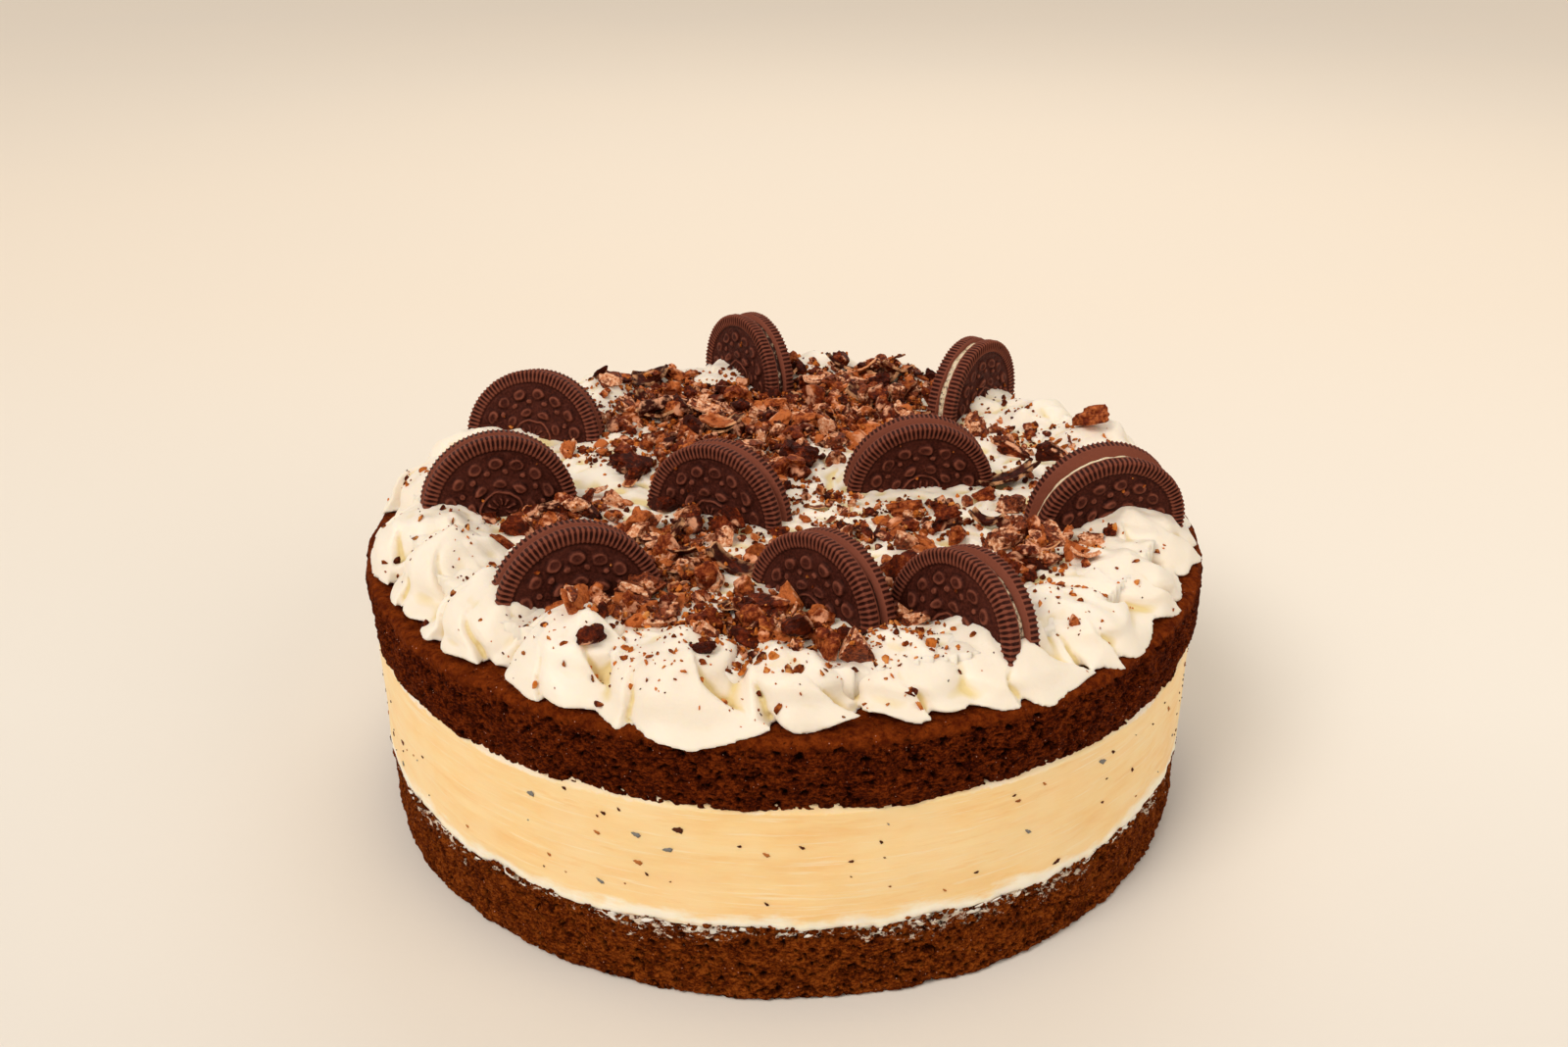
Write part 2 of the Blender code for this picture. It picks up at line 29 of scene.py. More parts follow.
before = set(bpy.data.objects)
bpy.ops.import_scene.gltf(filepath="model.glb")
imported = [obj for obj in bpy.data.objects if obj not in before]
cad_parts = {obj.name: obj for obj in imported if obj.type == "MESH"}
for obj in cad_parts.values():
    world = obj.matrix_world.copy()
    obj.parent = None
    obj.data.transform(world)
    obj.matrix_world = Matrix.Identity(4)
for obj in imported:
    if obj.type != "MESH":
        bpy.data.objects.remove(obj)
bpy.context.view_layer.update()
print("frame loaded")

# Values that the solids were made with
cake = {
    "radius": 0.115,
    "lowerSpongeTop": 0.0203,
    "iceCreamTop": 0.0542,
    "upperSpongeTop": 0.0737,
    "gap": 0.0003,
    "seamWaveSize": 0.013,
    "lowerSeam": (0.0203, 0.0012, 1.3),   # height, wave depth, seed
    "upperSeam": (0.0542, 0.0004, 4.7),
}
creamBottom = cake["upperSpongeTop"] + cake["gap"]


# Handling of pieces

def pickOnly(piece):
    if bpy.context.object is not None and bpy.context.object.mode != "OBJECT":
        bpy.ops.object.mode_set(mode="OBJECT")
    bpy.ops.object.select_all(action="DESELECT")
    piece.select_set(True)
    bpy.context.view_layer.objects.active = piece


def startPiece(name):
    piece = bpy.context.object
    piece.name = name
    piece.data.name = name
    pickOnly(piece)
    return piece


def applyModifier(piece, kind, **settings):
    pickOnly(piece)
    modifier = piece.modifiers.new(kind.title(), kind)
    for key, value in settings.items():
        setattr(modifier, key, value)
    bpy.ops.object.modifier_apply(modifier=modifier.name)


def settle(piece):
    # The object goes to the origin, with its place kept in its mesh
    pickOnly(piece)
    bpy.ops.object.transform_apply(location=True, rotation=True, scale=True)


def editMode(piece):
    pickOnly(piece)
    bpy.ops.object.mode_set(mode="EDIT")
    bpy.ops.mesh.select_mode(type="VERT")
    bpy.ops.mesh.select_all(action="SELECT")


def objectMode():
    bpy.ops.object.mode_set(mode="OBJECT")


def selectWhere(piece, kind, rule):
    # Leaves the piece in edit mode with the vertices or faces that the rule picks
    editMode(piece)
    bpy.ops.mesh.select_mode(type=kind)
    bpy.ops.mesh.select_all(action="DESELECT")
    objectMode()
    for part in (piece.data.vertices if kind == "VERT" else piece.data.polygons):
        part.select = rule(part)
    bpy.ops.object.mode_set(mode="EDIT")


def joinPieces(pieces, name):
    pickOnly(pieces[0])
    for piece in pieces[1:]:
        piece.select_set(True)
    bpy.ops.object.join()
    return startPiece(name)


def verticesOf(piece):
    places = np.zeros(len(piece.data.vertices) * 3)
    piece.data.vertices.foreach_get("co", places)
    return places.reshape(-1, 3)


def putVertices(piece, places):
    piece.data.vertices.foreach_set("co", np.asarray(places, dtype=np.float32).ravel())
    piece.data.update()


def moveVertices(piece, rule):
    putVertices(piece, [rule(Vector(place)) for place in verticesOf(piece)])


def paint(piece, name, values):
    # A value on each vertex, which the material reads
    layer = piece.data.attributes.new(name, "FLOAT", "POINT")
    layer.data.foreach_set("value", np.asarray(values, dtype=np.float32))


def paintEvenly(piece, **values):
    for name, value in values.items():
        paint(piece, name, np.full(len(piece.data.vertices), value))


def meshPiece(name, places, faces):
    mesh = bpy.data.meshes.new(name)
    mesh.from_pydata([tuple(place) for place in places], [], [tuple(face) for face in faces])
    piece = bpy.data.objects.new(name, mesh)
    bpy.context.collection.objects.link(piece)
    return piece


def dress(piece, finish, slot, *nodes):
    piece.data.materials.clear()
    piece.data.materials.append(finish)
    for face in piece.data.polygons:
        face.use_smooth = True
    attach(piece, "root")
    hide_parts(*nodes)


def smoothStep(low, high, value):
    share = min(max((value - low) / (high - low), 0.0), 1.0)
    return share * share * (3.0 - 2.0 * share)


def outward(angle):
    return Vector((math.cos(angle), math.sin(angle), 0.0))


# Materials

class Finish:
    def __init__(self, name, sockets):
        self.material = bpy.data.materials.new(name)
        self.material.use_nodes = True
        self.tree = self.material.node_tree
        self.shader = self.tree.nodes["Principled BSDF"]
        for socket, value in sockets.items():
            self.shader.inputs[socket].default_value = value
        self.place = self.tree.nodes.new("ShaderNodeTexCoord").outputs["Object"]

    def node(self, kind, inputs, **settings):
        made = self.tree.nodes.new("ShaderNode" + kind)
        for key, value in settings.items():
            setattr(made, key, value)
        for key, value in inputs.items():
            self.feed(made.inputs[key], value)
        return made

    def feed(self, socket, value):
        if isinstance(value, bpy.types.NodeSocket):
            self.tree.links.new(value, socket)
        elif isinstance(value, tuple) and len(value) == 3 and socket.type == "RGBA":
            socket.default_value = (*value, 1.0)
        else:
            socket.default_value = value

    def noise(self, size, detail=3.0, rough=0.5, stretch=None, warp=0.0):
        where = self.place
        if stretch is not None:
            where = self.node("Mapping", {"Vector": where, "Scale": stretch}).outputs[0]
        inputs = {"Vector": where, "Scale": 1.0 / size, "Detail": detail, "Roughness": rough}
        return self.node("TexNoise", {**inputs, "Distortion": warp}).outputs[0]

    def cells(self, size):
        return self.node("TexVoronoi", {"Vector": self.place, "Scale": 1.0 / size}).outputs["Distance"]

    def attribute(self, name):
        return self.node("Attribute", {}, attribute_name=name).outputs["Fac"]

    def maths(self, operation, *values):
        return self.node("Math", dict(enumerate(values)), operation=operation).outputs[0]

    def times(self, first, second):
        return self.maths("MULTIPLY", first, second)

    def plus(self, first, second):
        return self.maths("ADD", first, second)

    def between(self, value, low, high, first=0.0, last=1.0):
        inputs = {"Value": value, "From Min": low, "From Max": high, "To Min": first, "To Max": last}
        return self.node("MapRange", inputs).outputs[0]

    def wandering(self, size, low, high):
        # Drifts between two values from place to place
        return self.between(self.noise(size), 0.3, 0.7, low, high)

    def ramp(self, factor, stops):
        made = self.node("ValToRGB", {"Fac": factor})
        elements = made.color_ramp.elements
        while len(elements) < len(stops):
            elements.new(0.5)
        for element, (place, colour) in zip(elements, stops):
            element.position = place
            element.color = (*colour, 1.0)
        return made.outputs["Color"]

    def mix(self, factor, first, second):
        made = self.node("Mix", {}, data_type="RGBA")
        self.feed(made.inputs[0], factor)
        self.feed(made.inputs[6], first)
        self.feed(made.inputs[7], second)
        return made.outputs[2]

    def bump(self, height, distance, strength=1.0, after=None):
        inputs = {"Height": height, "Distance": distance, "Strength": strength}
        if after is not None:
            inputs["Normal"] = after
        return self.node("Bump", inputs).outputs[0]

    def finished(self, colour, roughness=None, normal=None):
        self.feed(self.shader.inputs["Base Color"], colour)
        if roughness is not None:
            self.feed(self.shader.inputs["Roughness"], roughness)
        if normal is not None:
            self.feed(self.shader.inputs["Normal"], normal)
        return self.material


# Stage: camera, lights and floor

stage = {
    "cameraPlace": (0.0, -0.3882, 0.2544),
    "cameraTilt": 90.0 - 25.262,
    "lens": 34.39,
    "sensor": 36.0,
    "lightsAim": (0.0, 0.0, 0.06),
    "worldColour": (1.0, 0.965, 0.92),
    "worldStrength": 0.49,
    # name, kind, place, size in metres or degrees, power, colour
    "lights": (
        ("keySun", "SUN", (-0.75, -0.80, 1.30), 26.0, 1.32, (1.0, 0.940, 0.885)),
        ("keyLight", "AREA", (-0.75, -0.70, 1.15), 0.8, 3.3, (1.0, 0.945, 0.895)),
        ("fillLight", "AREA", (1.00, -0.60, 0.80), 1.1, 4.4, (1.0, 0.92, 0.82)),
        ("backLight", "AREA", (0.15, 0.95, 1.10), 1.0, 3.6, (1.0, 0.95, 0.88)),
    ),
    "floorSize": 6.0,
    "floorDrop": 0.0004,
    # the floor's colour from front to back, with painted shade that darkens it towards the front, where the
    # first and the last lie, and its faint blots
    "floorPaintedShading": ((0.0, (0.70, 0.65, 0.587)), (0.45, (0.85, 0.785, 0.69)), (1.0, (0.88, 0.765, 0.625))),
    "floorRange": (-0.34, 0.45),
    "floorBlots": (0.80, 0.73, 0.64),
}


def addCamera():
    bpy.ops.object.select_all(action="DESELECT")
    tilt = math.radians(stage["cameraTilt"])
    bpy.ops.object.camera_add(location=stage["cameraPlace"], rotation=(tilt, 0.0, 0.0))
    camera = bpy.context.object
    camera.name = "camera"
    camera.data.lens = stage["lens"]
    camera.data.sensor_width = stage["sensor"]
    camera.data.clip_start = 0.01
    bpy.context.scene.camera = camera


def addLights():
    for name, kind, place, size, power, colour in stage["lights"]:
        aim = Vector(stage["lightsAim"]) - Vector(place)
        bpy.ops.object.light_add(type=kind, location=place, rotation=aim.to_track_quat("-Z", "Y").to_euler())
        light = bpy.context.object
        light.name = name
        if kind == "SUN":
            light.data.angle = math.radians(size)
        else:
            light.data.shape = "DISK"
            light.data.size = size
        light.data.energy = power
        light.data.color = colour
    world = bpy.data.worlds.new("studio")
    world.use_nodes = True
    sky = world.node_tree.nodes["Background"]
    sky.inputs["Color"].default_value = (*stage["worldColour"], 1.0)
    sky.inputs["Strength"].default_value = stage["worldStrength"]
    bpy.context.scene.world = world
    bpy.context.scene.view_settings.view_transform = "Standard"


def layFloor():
    bpy.ops.mesh.primitive_plane_add(size=stage["floorSize"], location=(0.0, 0.0, -stage["floorDrop"]))
    floor = startPiece("floor")
    settle(floor)
    paper = Finish("palePaper", {"Roughness": 0.75, "Specular IOR Level": 0.25})
    # Painted shade and light: the paper is darker towards the front and lighter towards the back
    depth = paper.node("SeparateXYZ", {"Vector": paper.place}).outputs["Y"]
    shade = paper.ramp(paper.between(depth, *stage["floorRange"]), stage["floorPaintedShading"])
    blots = paper.between(paper.noise(0.5, 2.0), 0.35, 0.65, 0.0, 0.15)
    shade = paper.mix(blots, shade, stage["floorBlots"])
    floor.data.materials.append(paper.finished(shade, None, paper.bump(paper.noise(0.002), 0.0001, 0.3)))


addCamera()
addLights()
layFloor()
print("stage set")


# Layers: sponge, ice cream, sponge

wall = {
    "steps": 1300,
    "spongeRows": 36,
    "iceCreamRows": 46,
    "swell": 0.0010,
    "cragDepth": 0.0011,
    "cragSize": 0.011,
    "pitDepth": 0.0015,
    "pitSize": 0.0019,
    "grainDepth": 0.00050,
    "grainSize": 0.0010,
    "sideDepth": (0.0035, 0.0012),   # how far in from the side the wear starts and is full
    "tongueSize": 0.0042,            # the torn edge: its tongues, the teeth on them, and how far it strays
    "toothSize": 0.0013,
    "tornDepth": 0.0010,
    "undersideTorn": 0.0004,
    "crustBand": (0.0032, 0.0012),   # how far below the top the smooth crust starts and is full
    "crustRounding": 0.0014,
    "edgeRounding": 0.0006,
    "lowerSeed": 11.0,
    "upperSeed": 23.0,
    "iceDents": 0.00035,
    "iceLap": (0.0022, 0.0016),      # how far the band runs on behind the sponges' edges, below and above
    # dark, middle and light crumb, the crust, the share of pale specks that are painted glints, and what
    # clings at the seam
    "lowerSponge": {
        "dark": (0.045, 0.0060, 0.0008), "mid": (0.165, 0.028, 0.0026), "light": (0.345, 0.080, 0.0095),
        "crust": ((0.4, (0.11, 0.020, 0.002)), (0.6, (0.16, 0.034, 0.004))),
        "paintedGlint": 0.10, "smear": (0.93, 0.77, 0.60), "smearFall": (0.022, 0.070),
    },
    "upperSponge": {
        "dark": (0.024, 0.0028, 0.0006), "mid": (0.098, 0.0125, 0.0016), "light": (0.235, 0.040, 0.0050),
        "crust": ((0.38, (0.10, 0.0120, 0.0014)), (0.62, (0.27, 0.046, 0.0050))),
        "paintedGlint": 0.09, "smear": (0.70, 0.44, 0.33), "smearFall": (0.070, 0.150),
    },
    # along the lower seam: how many, lowest and highest above it, size, flatness, width, how far out
    "seamCrumbs": (900, -0.0006, 0.0009, 0.00055, 0.8, 1.0, -0.0002),
    "smears": (300, -0.0011, 0.0004, 0.00070, 0.35, 2.0, -0.0005),
    # the larger specks in front: degrees round, height and size in millimetres, and tint:
    # 0 dark, 0.6 orange, 1 grey
    "specks": (
        (-102, 48, 1.9, 0.1), (-107, 37, 1.5, 0.6), (-107, 45, 1.4, 1.0), (-121, 48, 1.6, 1.0),
        (-112, 29, 1.3, 1.0), (-116, 53, 0.9, 0.0), (-111, 49, 0.9, 0.0), (-109, 51, 0.9, 0.2),
        (-106, 34, 0.8, 0.0), (-95, 45, 0.9, 0.0), (-92, 29, 0.8, 0.0), (-88, 45, 0.8, 0.1),
        (-79, 45, 0.8, 0.0), (-55, 25, 1.3, 0.0), (-47, 35, 0.9, 0.1), (-46, 49, 1.0, 0.0),
        (-48, 48, 1.4, 1.0), (-60, 38, 1.3, 1.0), (-112, 43, 0.9, 0.6), (-119, 32, 0.9, 0.6),
        (-92, 43, 0.9, 0.6), (-133, 28, 0.9, 0.7), (-58, 50, 0.9, 0.6), (-71, 28, 0.8, 0.6),
        (-67, 31, 0.8, 0.0),
    ),
    "specksInAll": 190,
    "specksFront": (-140.0, -42.0),   # the stretch that holds few others
}


def seamHeight(angle, seam):
    height, depth, seed = seam
    place = Vector((math.cos(angle), math.sin(angle), seed)) * (cake["radius"] / cake["seamWaveSize"])
    return height + depth * noise.noise(place) * 1.6


def raggedness(angle, seed):
    # The torn edge of a sponge: tongues of a few millimetres and teeth on them
    ring = outward(angle) * cake["radius"]
    tongues = noise.noise(ring / wall["tongueSize"] + Vector((0.0, 0.0, seed)))
    teeth = noise.noise(ring / wall["toothSize"] + Vector((0.0, 5.0, seed)))
    return tongues + 0.45 * teeth


def spongeCrag(place, seed):
    return wall["cragDepth"] * noise.noise(place / wall["cragSize"] + Vector((0.0, 0.0, seed)))


def spongePit(place, seed):
    shift = Vector((seed, 2.0 * seed, -seed))
    flatter = Vector((place.x, place.y, place.z * 1.6))
    coarse = noise.noise(flatter / wall["pitSize"] + shift)
    fine = noise.noise(flatter / (wall["pitSize"] * 0.42) - shift)
    wide = noise.noise(place / (wall["pitSize"] * 2.6) + shift * 3.0)
    return smoothStep(0.12, 0.72, coarse + 0.55 * fine + 0.22 * wide)


def makeWall(name, radius, bottom, top, rows, capInsets):
    # A ring of points is drawn upwards row by row, then both ends are closed
    bpy.ops.mesh.primitive_circle_add(vertices=wall["steps"], radius=radius, location=(0.0, 0.0, bottom))
    piece = startPiece(name)
    settle(piece)
    editMode(piece)
    for _ in range(rows):
        bpy.ops.mesh.extrude_region_move(TRANSFORM_OT_translate={"value": (0.0, 0.0, (top - bottom) / rows)})
    bpy.ops.mesh.edge_face_add()
    for step in capInsets:
        bpy.ops.mesh.select_mode(type="FACE")
        bpy.ops.mesh.inset(thickness=step, use_even_offset=True)
    selectWhere(piece, "VERT", lambda vertex: abs(vertex.co.z - bottom) < 1e-6)
    bpy.ops.mesh.edge_face_add()
    bpy.ops.mesh.select_all(action="SELECT")
    bpy.ops.mesh.normals_make_consistent(inside=False)
    objectMode()
    return piece


def tearSponge(piece, bottom, top, lowerSeam, upperSeam, seed, smoothCrust):
    # Crags, pits and grain go into the side, and torn edges where a seam is
    pits, seamAway, crusts = [], [], []
    places = []
    inmost, outmost = (cake["radius"] - depth for depth in wall["sideDepth"])
    crustLow, crustFull = (top - depth for depth in wall["crustBand"])
    rounding = wall["crustRounding"] if smoothCrust else wall["edgeRounding"]
    for place in map(Vector, verticesOf(piece)):
        radius = math.hypot(place.x, place.y)
        angle = math.atan2(place.y, place.x)
        share = (place.z - bottom) / (top - bottom)
        atSide = smoothStep(inmost, outmost, radius)
        lift = 0.0
        if upperSeam is not None:
            edge = smoothStep(0.55, 1.0, share) * atSide
            torn = wall["tornDepth"] * raggedness(angle, seed)
            lift += edge * (seamHeight(angle, upperSeam) - upperSeam[0] + torn)
        if lowerSeam is not None:
            edge = smoothStep(0.45, 0.0, share) * atSide
            torn = wall["undersideTorn"] * raggedness(angle, seed)
            lift += edge * (seamHeight(angle, lowerSeam) - lowerSeam[0] + torn)
        crust = smoothStep(crustLow, crustFull, place.z) if smoothCrust else 0.0
        pit = spongePit(place, seed) * atSide * (1.0 - 0.8 * crust)
        grain = noise.noise(place / wall["grainSize"]) + 0.7 * noise.noise(place / (wall["grainSize"] * 2.4))
        push = atSide * spongeCrag(place, seed) - wall["pitDepth"] * pit
        push += wall["grainDepth"] * grain * (1.0 - 0.6 * crust)
        nearTop = max(0.0, place.z - (top - rounding)) / rounding
        nearBottom = max(0.0, (bottom + 0.0008) - place.z) / 0.0008
        rounded = rounding * (1.0 - math.sqrt(max(0.0, 1.0 - nearTop ** 2)))
        push -= atSide * (rounded + 0.0005 * nearBottom ** 2)
        if smoothCrust:
            push += atSide * wall["swell"] * smoothStep(0.0, 0.35, share) * smoothStep(1.25, 0.7, share)
            lift += (1.0 - atSide) * 0.00025 * noise.noise(place / 0.003)
        scale = (radius + push) / radius if radius > 1e-6 else 1.0
        places.append((place.x * scale, place.y * scale, place.z + lift))
        pits.append(pit)
        crusts.append(crust)
        seamAway.append((seamHeight(angle, upperSeam) - place.z - lift) * 1000.0 if upperSeam else 50.0)
    putVertices(piece, places)
    paint(piece, "pit", pits)
    paint(piece, "crust", crusts)
    paint(piece, "seamAway", seamAway)


def smoothIceCream(piece):
    # Trowelled side with faint level streaks; it tucks in behind the sponges' torn edges
    above, below = [], []
    places = []
    for place in map(Vector, verticesOf(piece)):
        radius = math.hypot(place.x, place.y)
        angle = math.atan2(place.y, place.x)
        ring = outward(angle)
        lower = seamHeight(angle, cake["lowerSeam"])
        upper = seamHeight(angle, cake["upperSeam"])
        streak = noise.noise(ring * 6.0 + Vector((0.0, 0.0, place.z / 0.0009)))
        streak += 0.6 * noise.noise(ring * 14.0 + Vector((0.0, 3.0, place.z / 0.0022)))
        dents = noise.noise(place / 0.014)
        push = 0.00004 * streak + wall["iceDents"] * dents
        lip = smoothStep(0.0042, 0.0015, place.z - lower)
        push += lip * 0.0004 * noise.noise(place / 0.0028)
        tuck = smoothStep(0.0009, -0.0004, place.z - lower)
        push -= tuck * (0.0013 - spongeCrag(Vector((place.x, place.y, lower)), wall["lowerSeed"]))
        push -= 0.0010 * smoothStep(0.0001, 0.0009, place.z - upper)
        scale = (radius + push) / radius if radius > 1e-6 else 1.0
        places.append((place.x * scale, place.y * scale, place.z))
        above.append((place.z - lower) * 1000.0)
        below.append((upper - place.z) * 1000.0)
    putVertices(piece, places)
    paint(piece, "aboveSeam", above)
    paint(piece, "belowTop", below)


def crumbShape(faces):
    bpy.ops.mesh.primitive_ico_sphere_add(subdivisions=faces, radius=1.0)
    master = startPiece("crumbMaster")
    places = verticesOf(master)
    corners = np.array([list(face.vertices) for face in master.data.polygons])
    bpy.data.objects.remove(master)
    return places, corners


def brokenShape(subdivisions, dice, cuts, roughness, crumbly=0.0):
    # A lump with a few flat broken faces, which are marked
    places, corners = crumbShape(subdivisions)
    offset = Vector([dice.uniform(-50.0, 50.0) for _ in range(3)])
    shaped = []
    for place in map(Vector, places):
        swell = 1.0 + roughness * noise.noise(place * 1.3 + offset)
        swell += roughness * 0.5 * noise.noise(place * 3.1 + offset)
        shaped.append(place * (swell + crumbly * noise.noise(place * 6.5 - offset)))
    shaped = np.array([tuple(place) for place in shaped])
    broken = np.zeros(len(shaped))
    for cut in range(cuts):
        normal = np.array([dice.gauss(0.0, 1.0) for _ in range(3)])
        normal /= np.linalg.norm(normal)
        over = shaped @ normal - dice.uniform(0.45, 0.75)
        shaped -= np.clip(over, 0.0, None)[:, None] * normal * 0.94
        if cut % 2 == 0:
            broken = np.maximum(broken, over > 0.02)
    return shaped, corners, broken


class Scatter:
    # Gathers many small bodies into one mesh; each vertex knows its body's tint and whether it is broken open
    def __init__(self):
        self.places, self.faces, self.tints, self.broken = [], [], [], []
        self.count = 0

    def add(self, shape, turn, scale, place, tint):
        corners, faces, broken = shape
        moved = (corners * np.array(scale)) @ np.array(turn).T + np.array(place)
        self.places.append(moved)
        self.faces.append(faces + self.count)
        self.tints.append(np.full(len(corners), tint))
        self.broken.append(broken)
        self.count += len(corners)

    def made(self, name):
        faces = [tuple(face) for group in self.faces for face in group]
        piece = meshPiece(name, np.concatenate(self.places), faces)
        paint(piece, "tint", np.concatenate(self.tints))
        paint(piece, "broken", np.concatenate(self.broken))
        return piece


def anyTurn(dice):
    return Euler([dice.uniform(0.0, math.tau) for _ in range(3)]).to_matrix()


def seamBits(dice, name, count, lowest, highest, size, flat, wide, out):
    # Bits that stand along the lower sponge's torn edge
    shapes = [brokenShape(2, dice, 1, 0.6) for _ in range(7)]
    scatter = Scatter()
    for _ in range(count):
        angle = dice.uniform(-math.pi, math.pi)
        edge = seamHeight(angle, cake["lowerSeam"]) + wall["tornDepth"] * raggedness(angle, wall["lowerSeed"])
        ring = outward(angle)
        height = edge + dice.uniform(lowest, highest)
        where = ring * cake["radius"] + Vector((0.0, 0.0, height))
        reach = cake["radius"] + spongeCrag(where, wall["lowerSeed"]) + out
        bit = size * dice.uniform(0.5, 1.4)
        turn = Euler((dice.uniform(-0.5, 0.5), dice.uniform(-0.5, 0.5), angle)).to_matrix()
        scale = (bit * flat, bit * wide * dice.uniform(0.6, 1.7), bit * dice.uniform(0.5, 1.1))
        where = ring * reach + Vector((0.0, 0.0, height))
        scatter.add(dice.choice(shapes), turn, scale, where, dice.random())
    return scatter.made(name)


def spongeFinish(name, shades):
    look = Finish(name, {"Roughness": 0.85, "Specular IOR Level": 0.02})
    dark = shades["dark"]
    grain = look.noise(0.0011, 5.0, 0.75, (1.0, 1.0, 1.7))
    wide = look.noise(0.0042, 4.0, 0.6)
    tone = look.plus(look.times(grain, 0.75), look.times(wide, 0.25))
    colour = look.ramp(tone, ((0.41, dark), (0.50, shades["mid"]), (0.59, shades["light"])))
    crust = look.ramp(look.noise(0.0022, 5.0, 0.7), shades["crust"])
    colour = look.mix(look.attribute("crust"), colour, crust)
    # Painted shade: the pits, and small painted holes in the crumb, are darkened
    pitShade = look.between(look.attribute("pit"), 0.06, 0.80, 0.0, 0.92)
    colour = look.mix(pitShade, colour, tuple(value * 0.30 for value in dark))
    holeShade = look.between(look.noise(0.0019, 4.0, 0.75, warp=0.8), 0.40, 0.33)
    colour = look.mix(look.times(holeShade, 0.75), colour, tuple(value * 0.35 for value in dark))
    # Painted highlight: pale specks stand in for glints on the crumb
    paintedGlint = look.maths("LESS_THAN", look.cells(0.0016), shades["paintedGlint"])
    paintedGlint = look.times(paintedGlint, look.between(look.noise(0.006, 2.0), 0.48, 0.58))
    colour = look.mix(look.times(paintedGlint, 0.8), colour, (0.74, 0.38, 0.27))
    fall = look.between(look.noise(0.024, 2.0), 0.42, 0.58, *shades["smearFall"])
    smeared = look.noise(0.0016, 5.0, 0.7, (0.6, 0.6, 1.0))
    smeared = look.maths("SUBTRACT", smeared, look.times(look.attribute("seamAway"), fall))
    colour = look.mix(look.between(smeared, 0.47, 0.53), colour, shades["smear"])
    normal = look.bump(look.noise(0.0005, 5.0, 0.7), 0.0005, 1.0)
    normal = look.bump(look.noise(0.0016, 5.0, 0.7), 0.0012, 1.0, normal)
    return look.finished(colour, look.wandering(0.0008, 0.65, 0.95), normal)


def iceCreamFinish():
    look = Finish("iceCream", {"Roughness": 0.45, "Subsurface Weight": 0.25, "Subsurface Scale": 0.004,
                               "Subsurface Radius": (1.0, 0.6, 0.3), "Specular IOR Level": 0.25})
    streaks = look.noise(0.012, 5.0, 0.6, (0.6, 0.6, 2.6))
    colour = look.ramp(streaks, ((0.30, (0.935, 0.59, 0.245)), (0.50, (0.96, 0.655, 0.30)),
                                 (0.70, (0.975, 0.71, 0.36))))
    clouds = look.between(look.noise(0.022, 3.0), 0.42, 0.62)
    colour = look.mix(look.times(clouds, 0.4), colour, (0.975, 0.73, 0.41))
    # paler towards the lower seam, with an uneven edge
    smear = look.between(look.noise(0.0065, 5.0, 0.65, (0.5, 0.5, 1.4)), 0.3, 0.7, 2.4, -2.0)
    above = look.plus(look.attribute("aboveSeam"), smear)
    colour = look.mix(look.between(above, 5.0, 2.4), colour, (0.98, 0.875, 0.69))
    colour = look.mix(look.between(above, 2.2, 0.4, 0.0, 0.8), colour, (0.965, 0.875, 0.745))
    # level streaks that the trowel left
    pale = look.between(look.noise(0.005, 4.0, 0.7, (0.20, 0.20, 5.0)), 0.56, 0.66, 0.0, 0.55)
    colour = look.mix(pale, colour, (0.98, 0.80, 0.54))
    deep = look.between(look.noise(0.007, 4.0, 0.7, (0.30, 0.30, 3.0)), 0.58, 0.70, 0.0, 0.5)
    colour = look.mix(deep, colour, (0.90, 0.53, 0.20))
    # here and there a light line under the upper sponge
    topEdge = look.between(look.noise(0.002, 4.0, 0.6), 0.3, 0.7, 0.7, -0.7)
    topEdge = look.between(look.plus(look.attribute("belowTop"), topEdge), 0.7, 0.1)
    shown = look.between(look.noise(0.030, 2.0), 0.46, 0.60, 0.15, 1.0)
    colour = look.mix(look.times(topEdge, shown), colour, (0.95, 0.80, 0.63))
    normal = look.bump(look.noise(0.0045, 4.0, 0.6, (0.35, 0.35, 3.0)), 0.0003, 0.35)
    return look.finished(colour, look.wandering(0.004, 0.38, 0.58), normal)


def speckFinish():
    look = Finish("cookieSpeck", {"Roughness": 0.7, "Specular IOR Level": 0.1})
    colour = look.ramp(look.attribute("tint"), [(0.00, (0.060, 0.014, 0.005)), (0.45, (0.120, 0.030, 0.008)),
                                                (0.55, (0.40, 0.13, 0.028)), (0.78, (0.50, 0.19, 0.05)),
                                                (0.88, (0.20, 0.19, 0.17))])
    return look.finished(colour, None, look.bump(look.noise(0.0005, 4.0), 0.0002, 0.6))


def iceCreamSpecks(dice):
    # Bits of cookie just under the trowelled side: those that show in front, and others all round
    shape = brokenShape(2, dice, 1, 0.8)
    scatter = Scatter()
    places = list(wall["specks"])
    first, last = wall["specksFront"]
    while len(places) < wall["specksInAll"]:
        angle = dice.uniform(-180.0, 180.0)
        if first < angle < last and dice.random() < 0.75:
            continue
        places.append((angle, dice.uniform(25.0, 52.0), 0.35 + 1.0 * dice.random() ** 3, dice.random()))
    for degrees, height, size, tint in places:
        angle = math.radians(degrees)
        turn = Euler((0.0, 0.0, angle)).to_matrix() @ Euler((dice.uniform(-0.6, 0.6), 0.0, 0.0)).to_matrix()
        half = size / 1700.0
        ring = outward(angle)
        where = ring * cake["radius"] + Vector((0.0, 0.0, height / 1000.0))
        reach = cake["radius"] + wall["iceDents"] * noise.noise(where / 0.014)
        scale = (0.00025, half * dice.uniform(0.8, 1.4), half * dice.uniform(0.6, 1.0))
        scatter.add(shape, turn, scale, ring * reach + Vector((0.0, 0.0, height / 1000.0)), tint)
    return scatter.made("iceCreamSpecks")


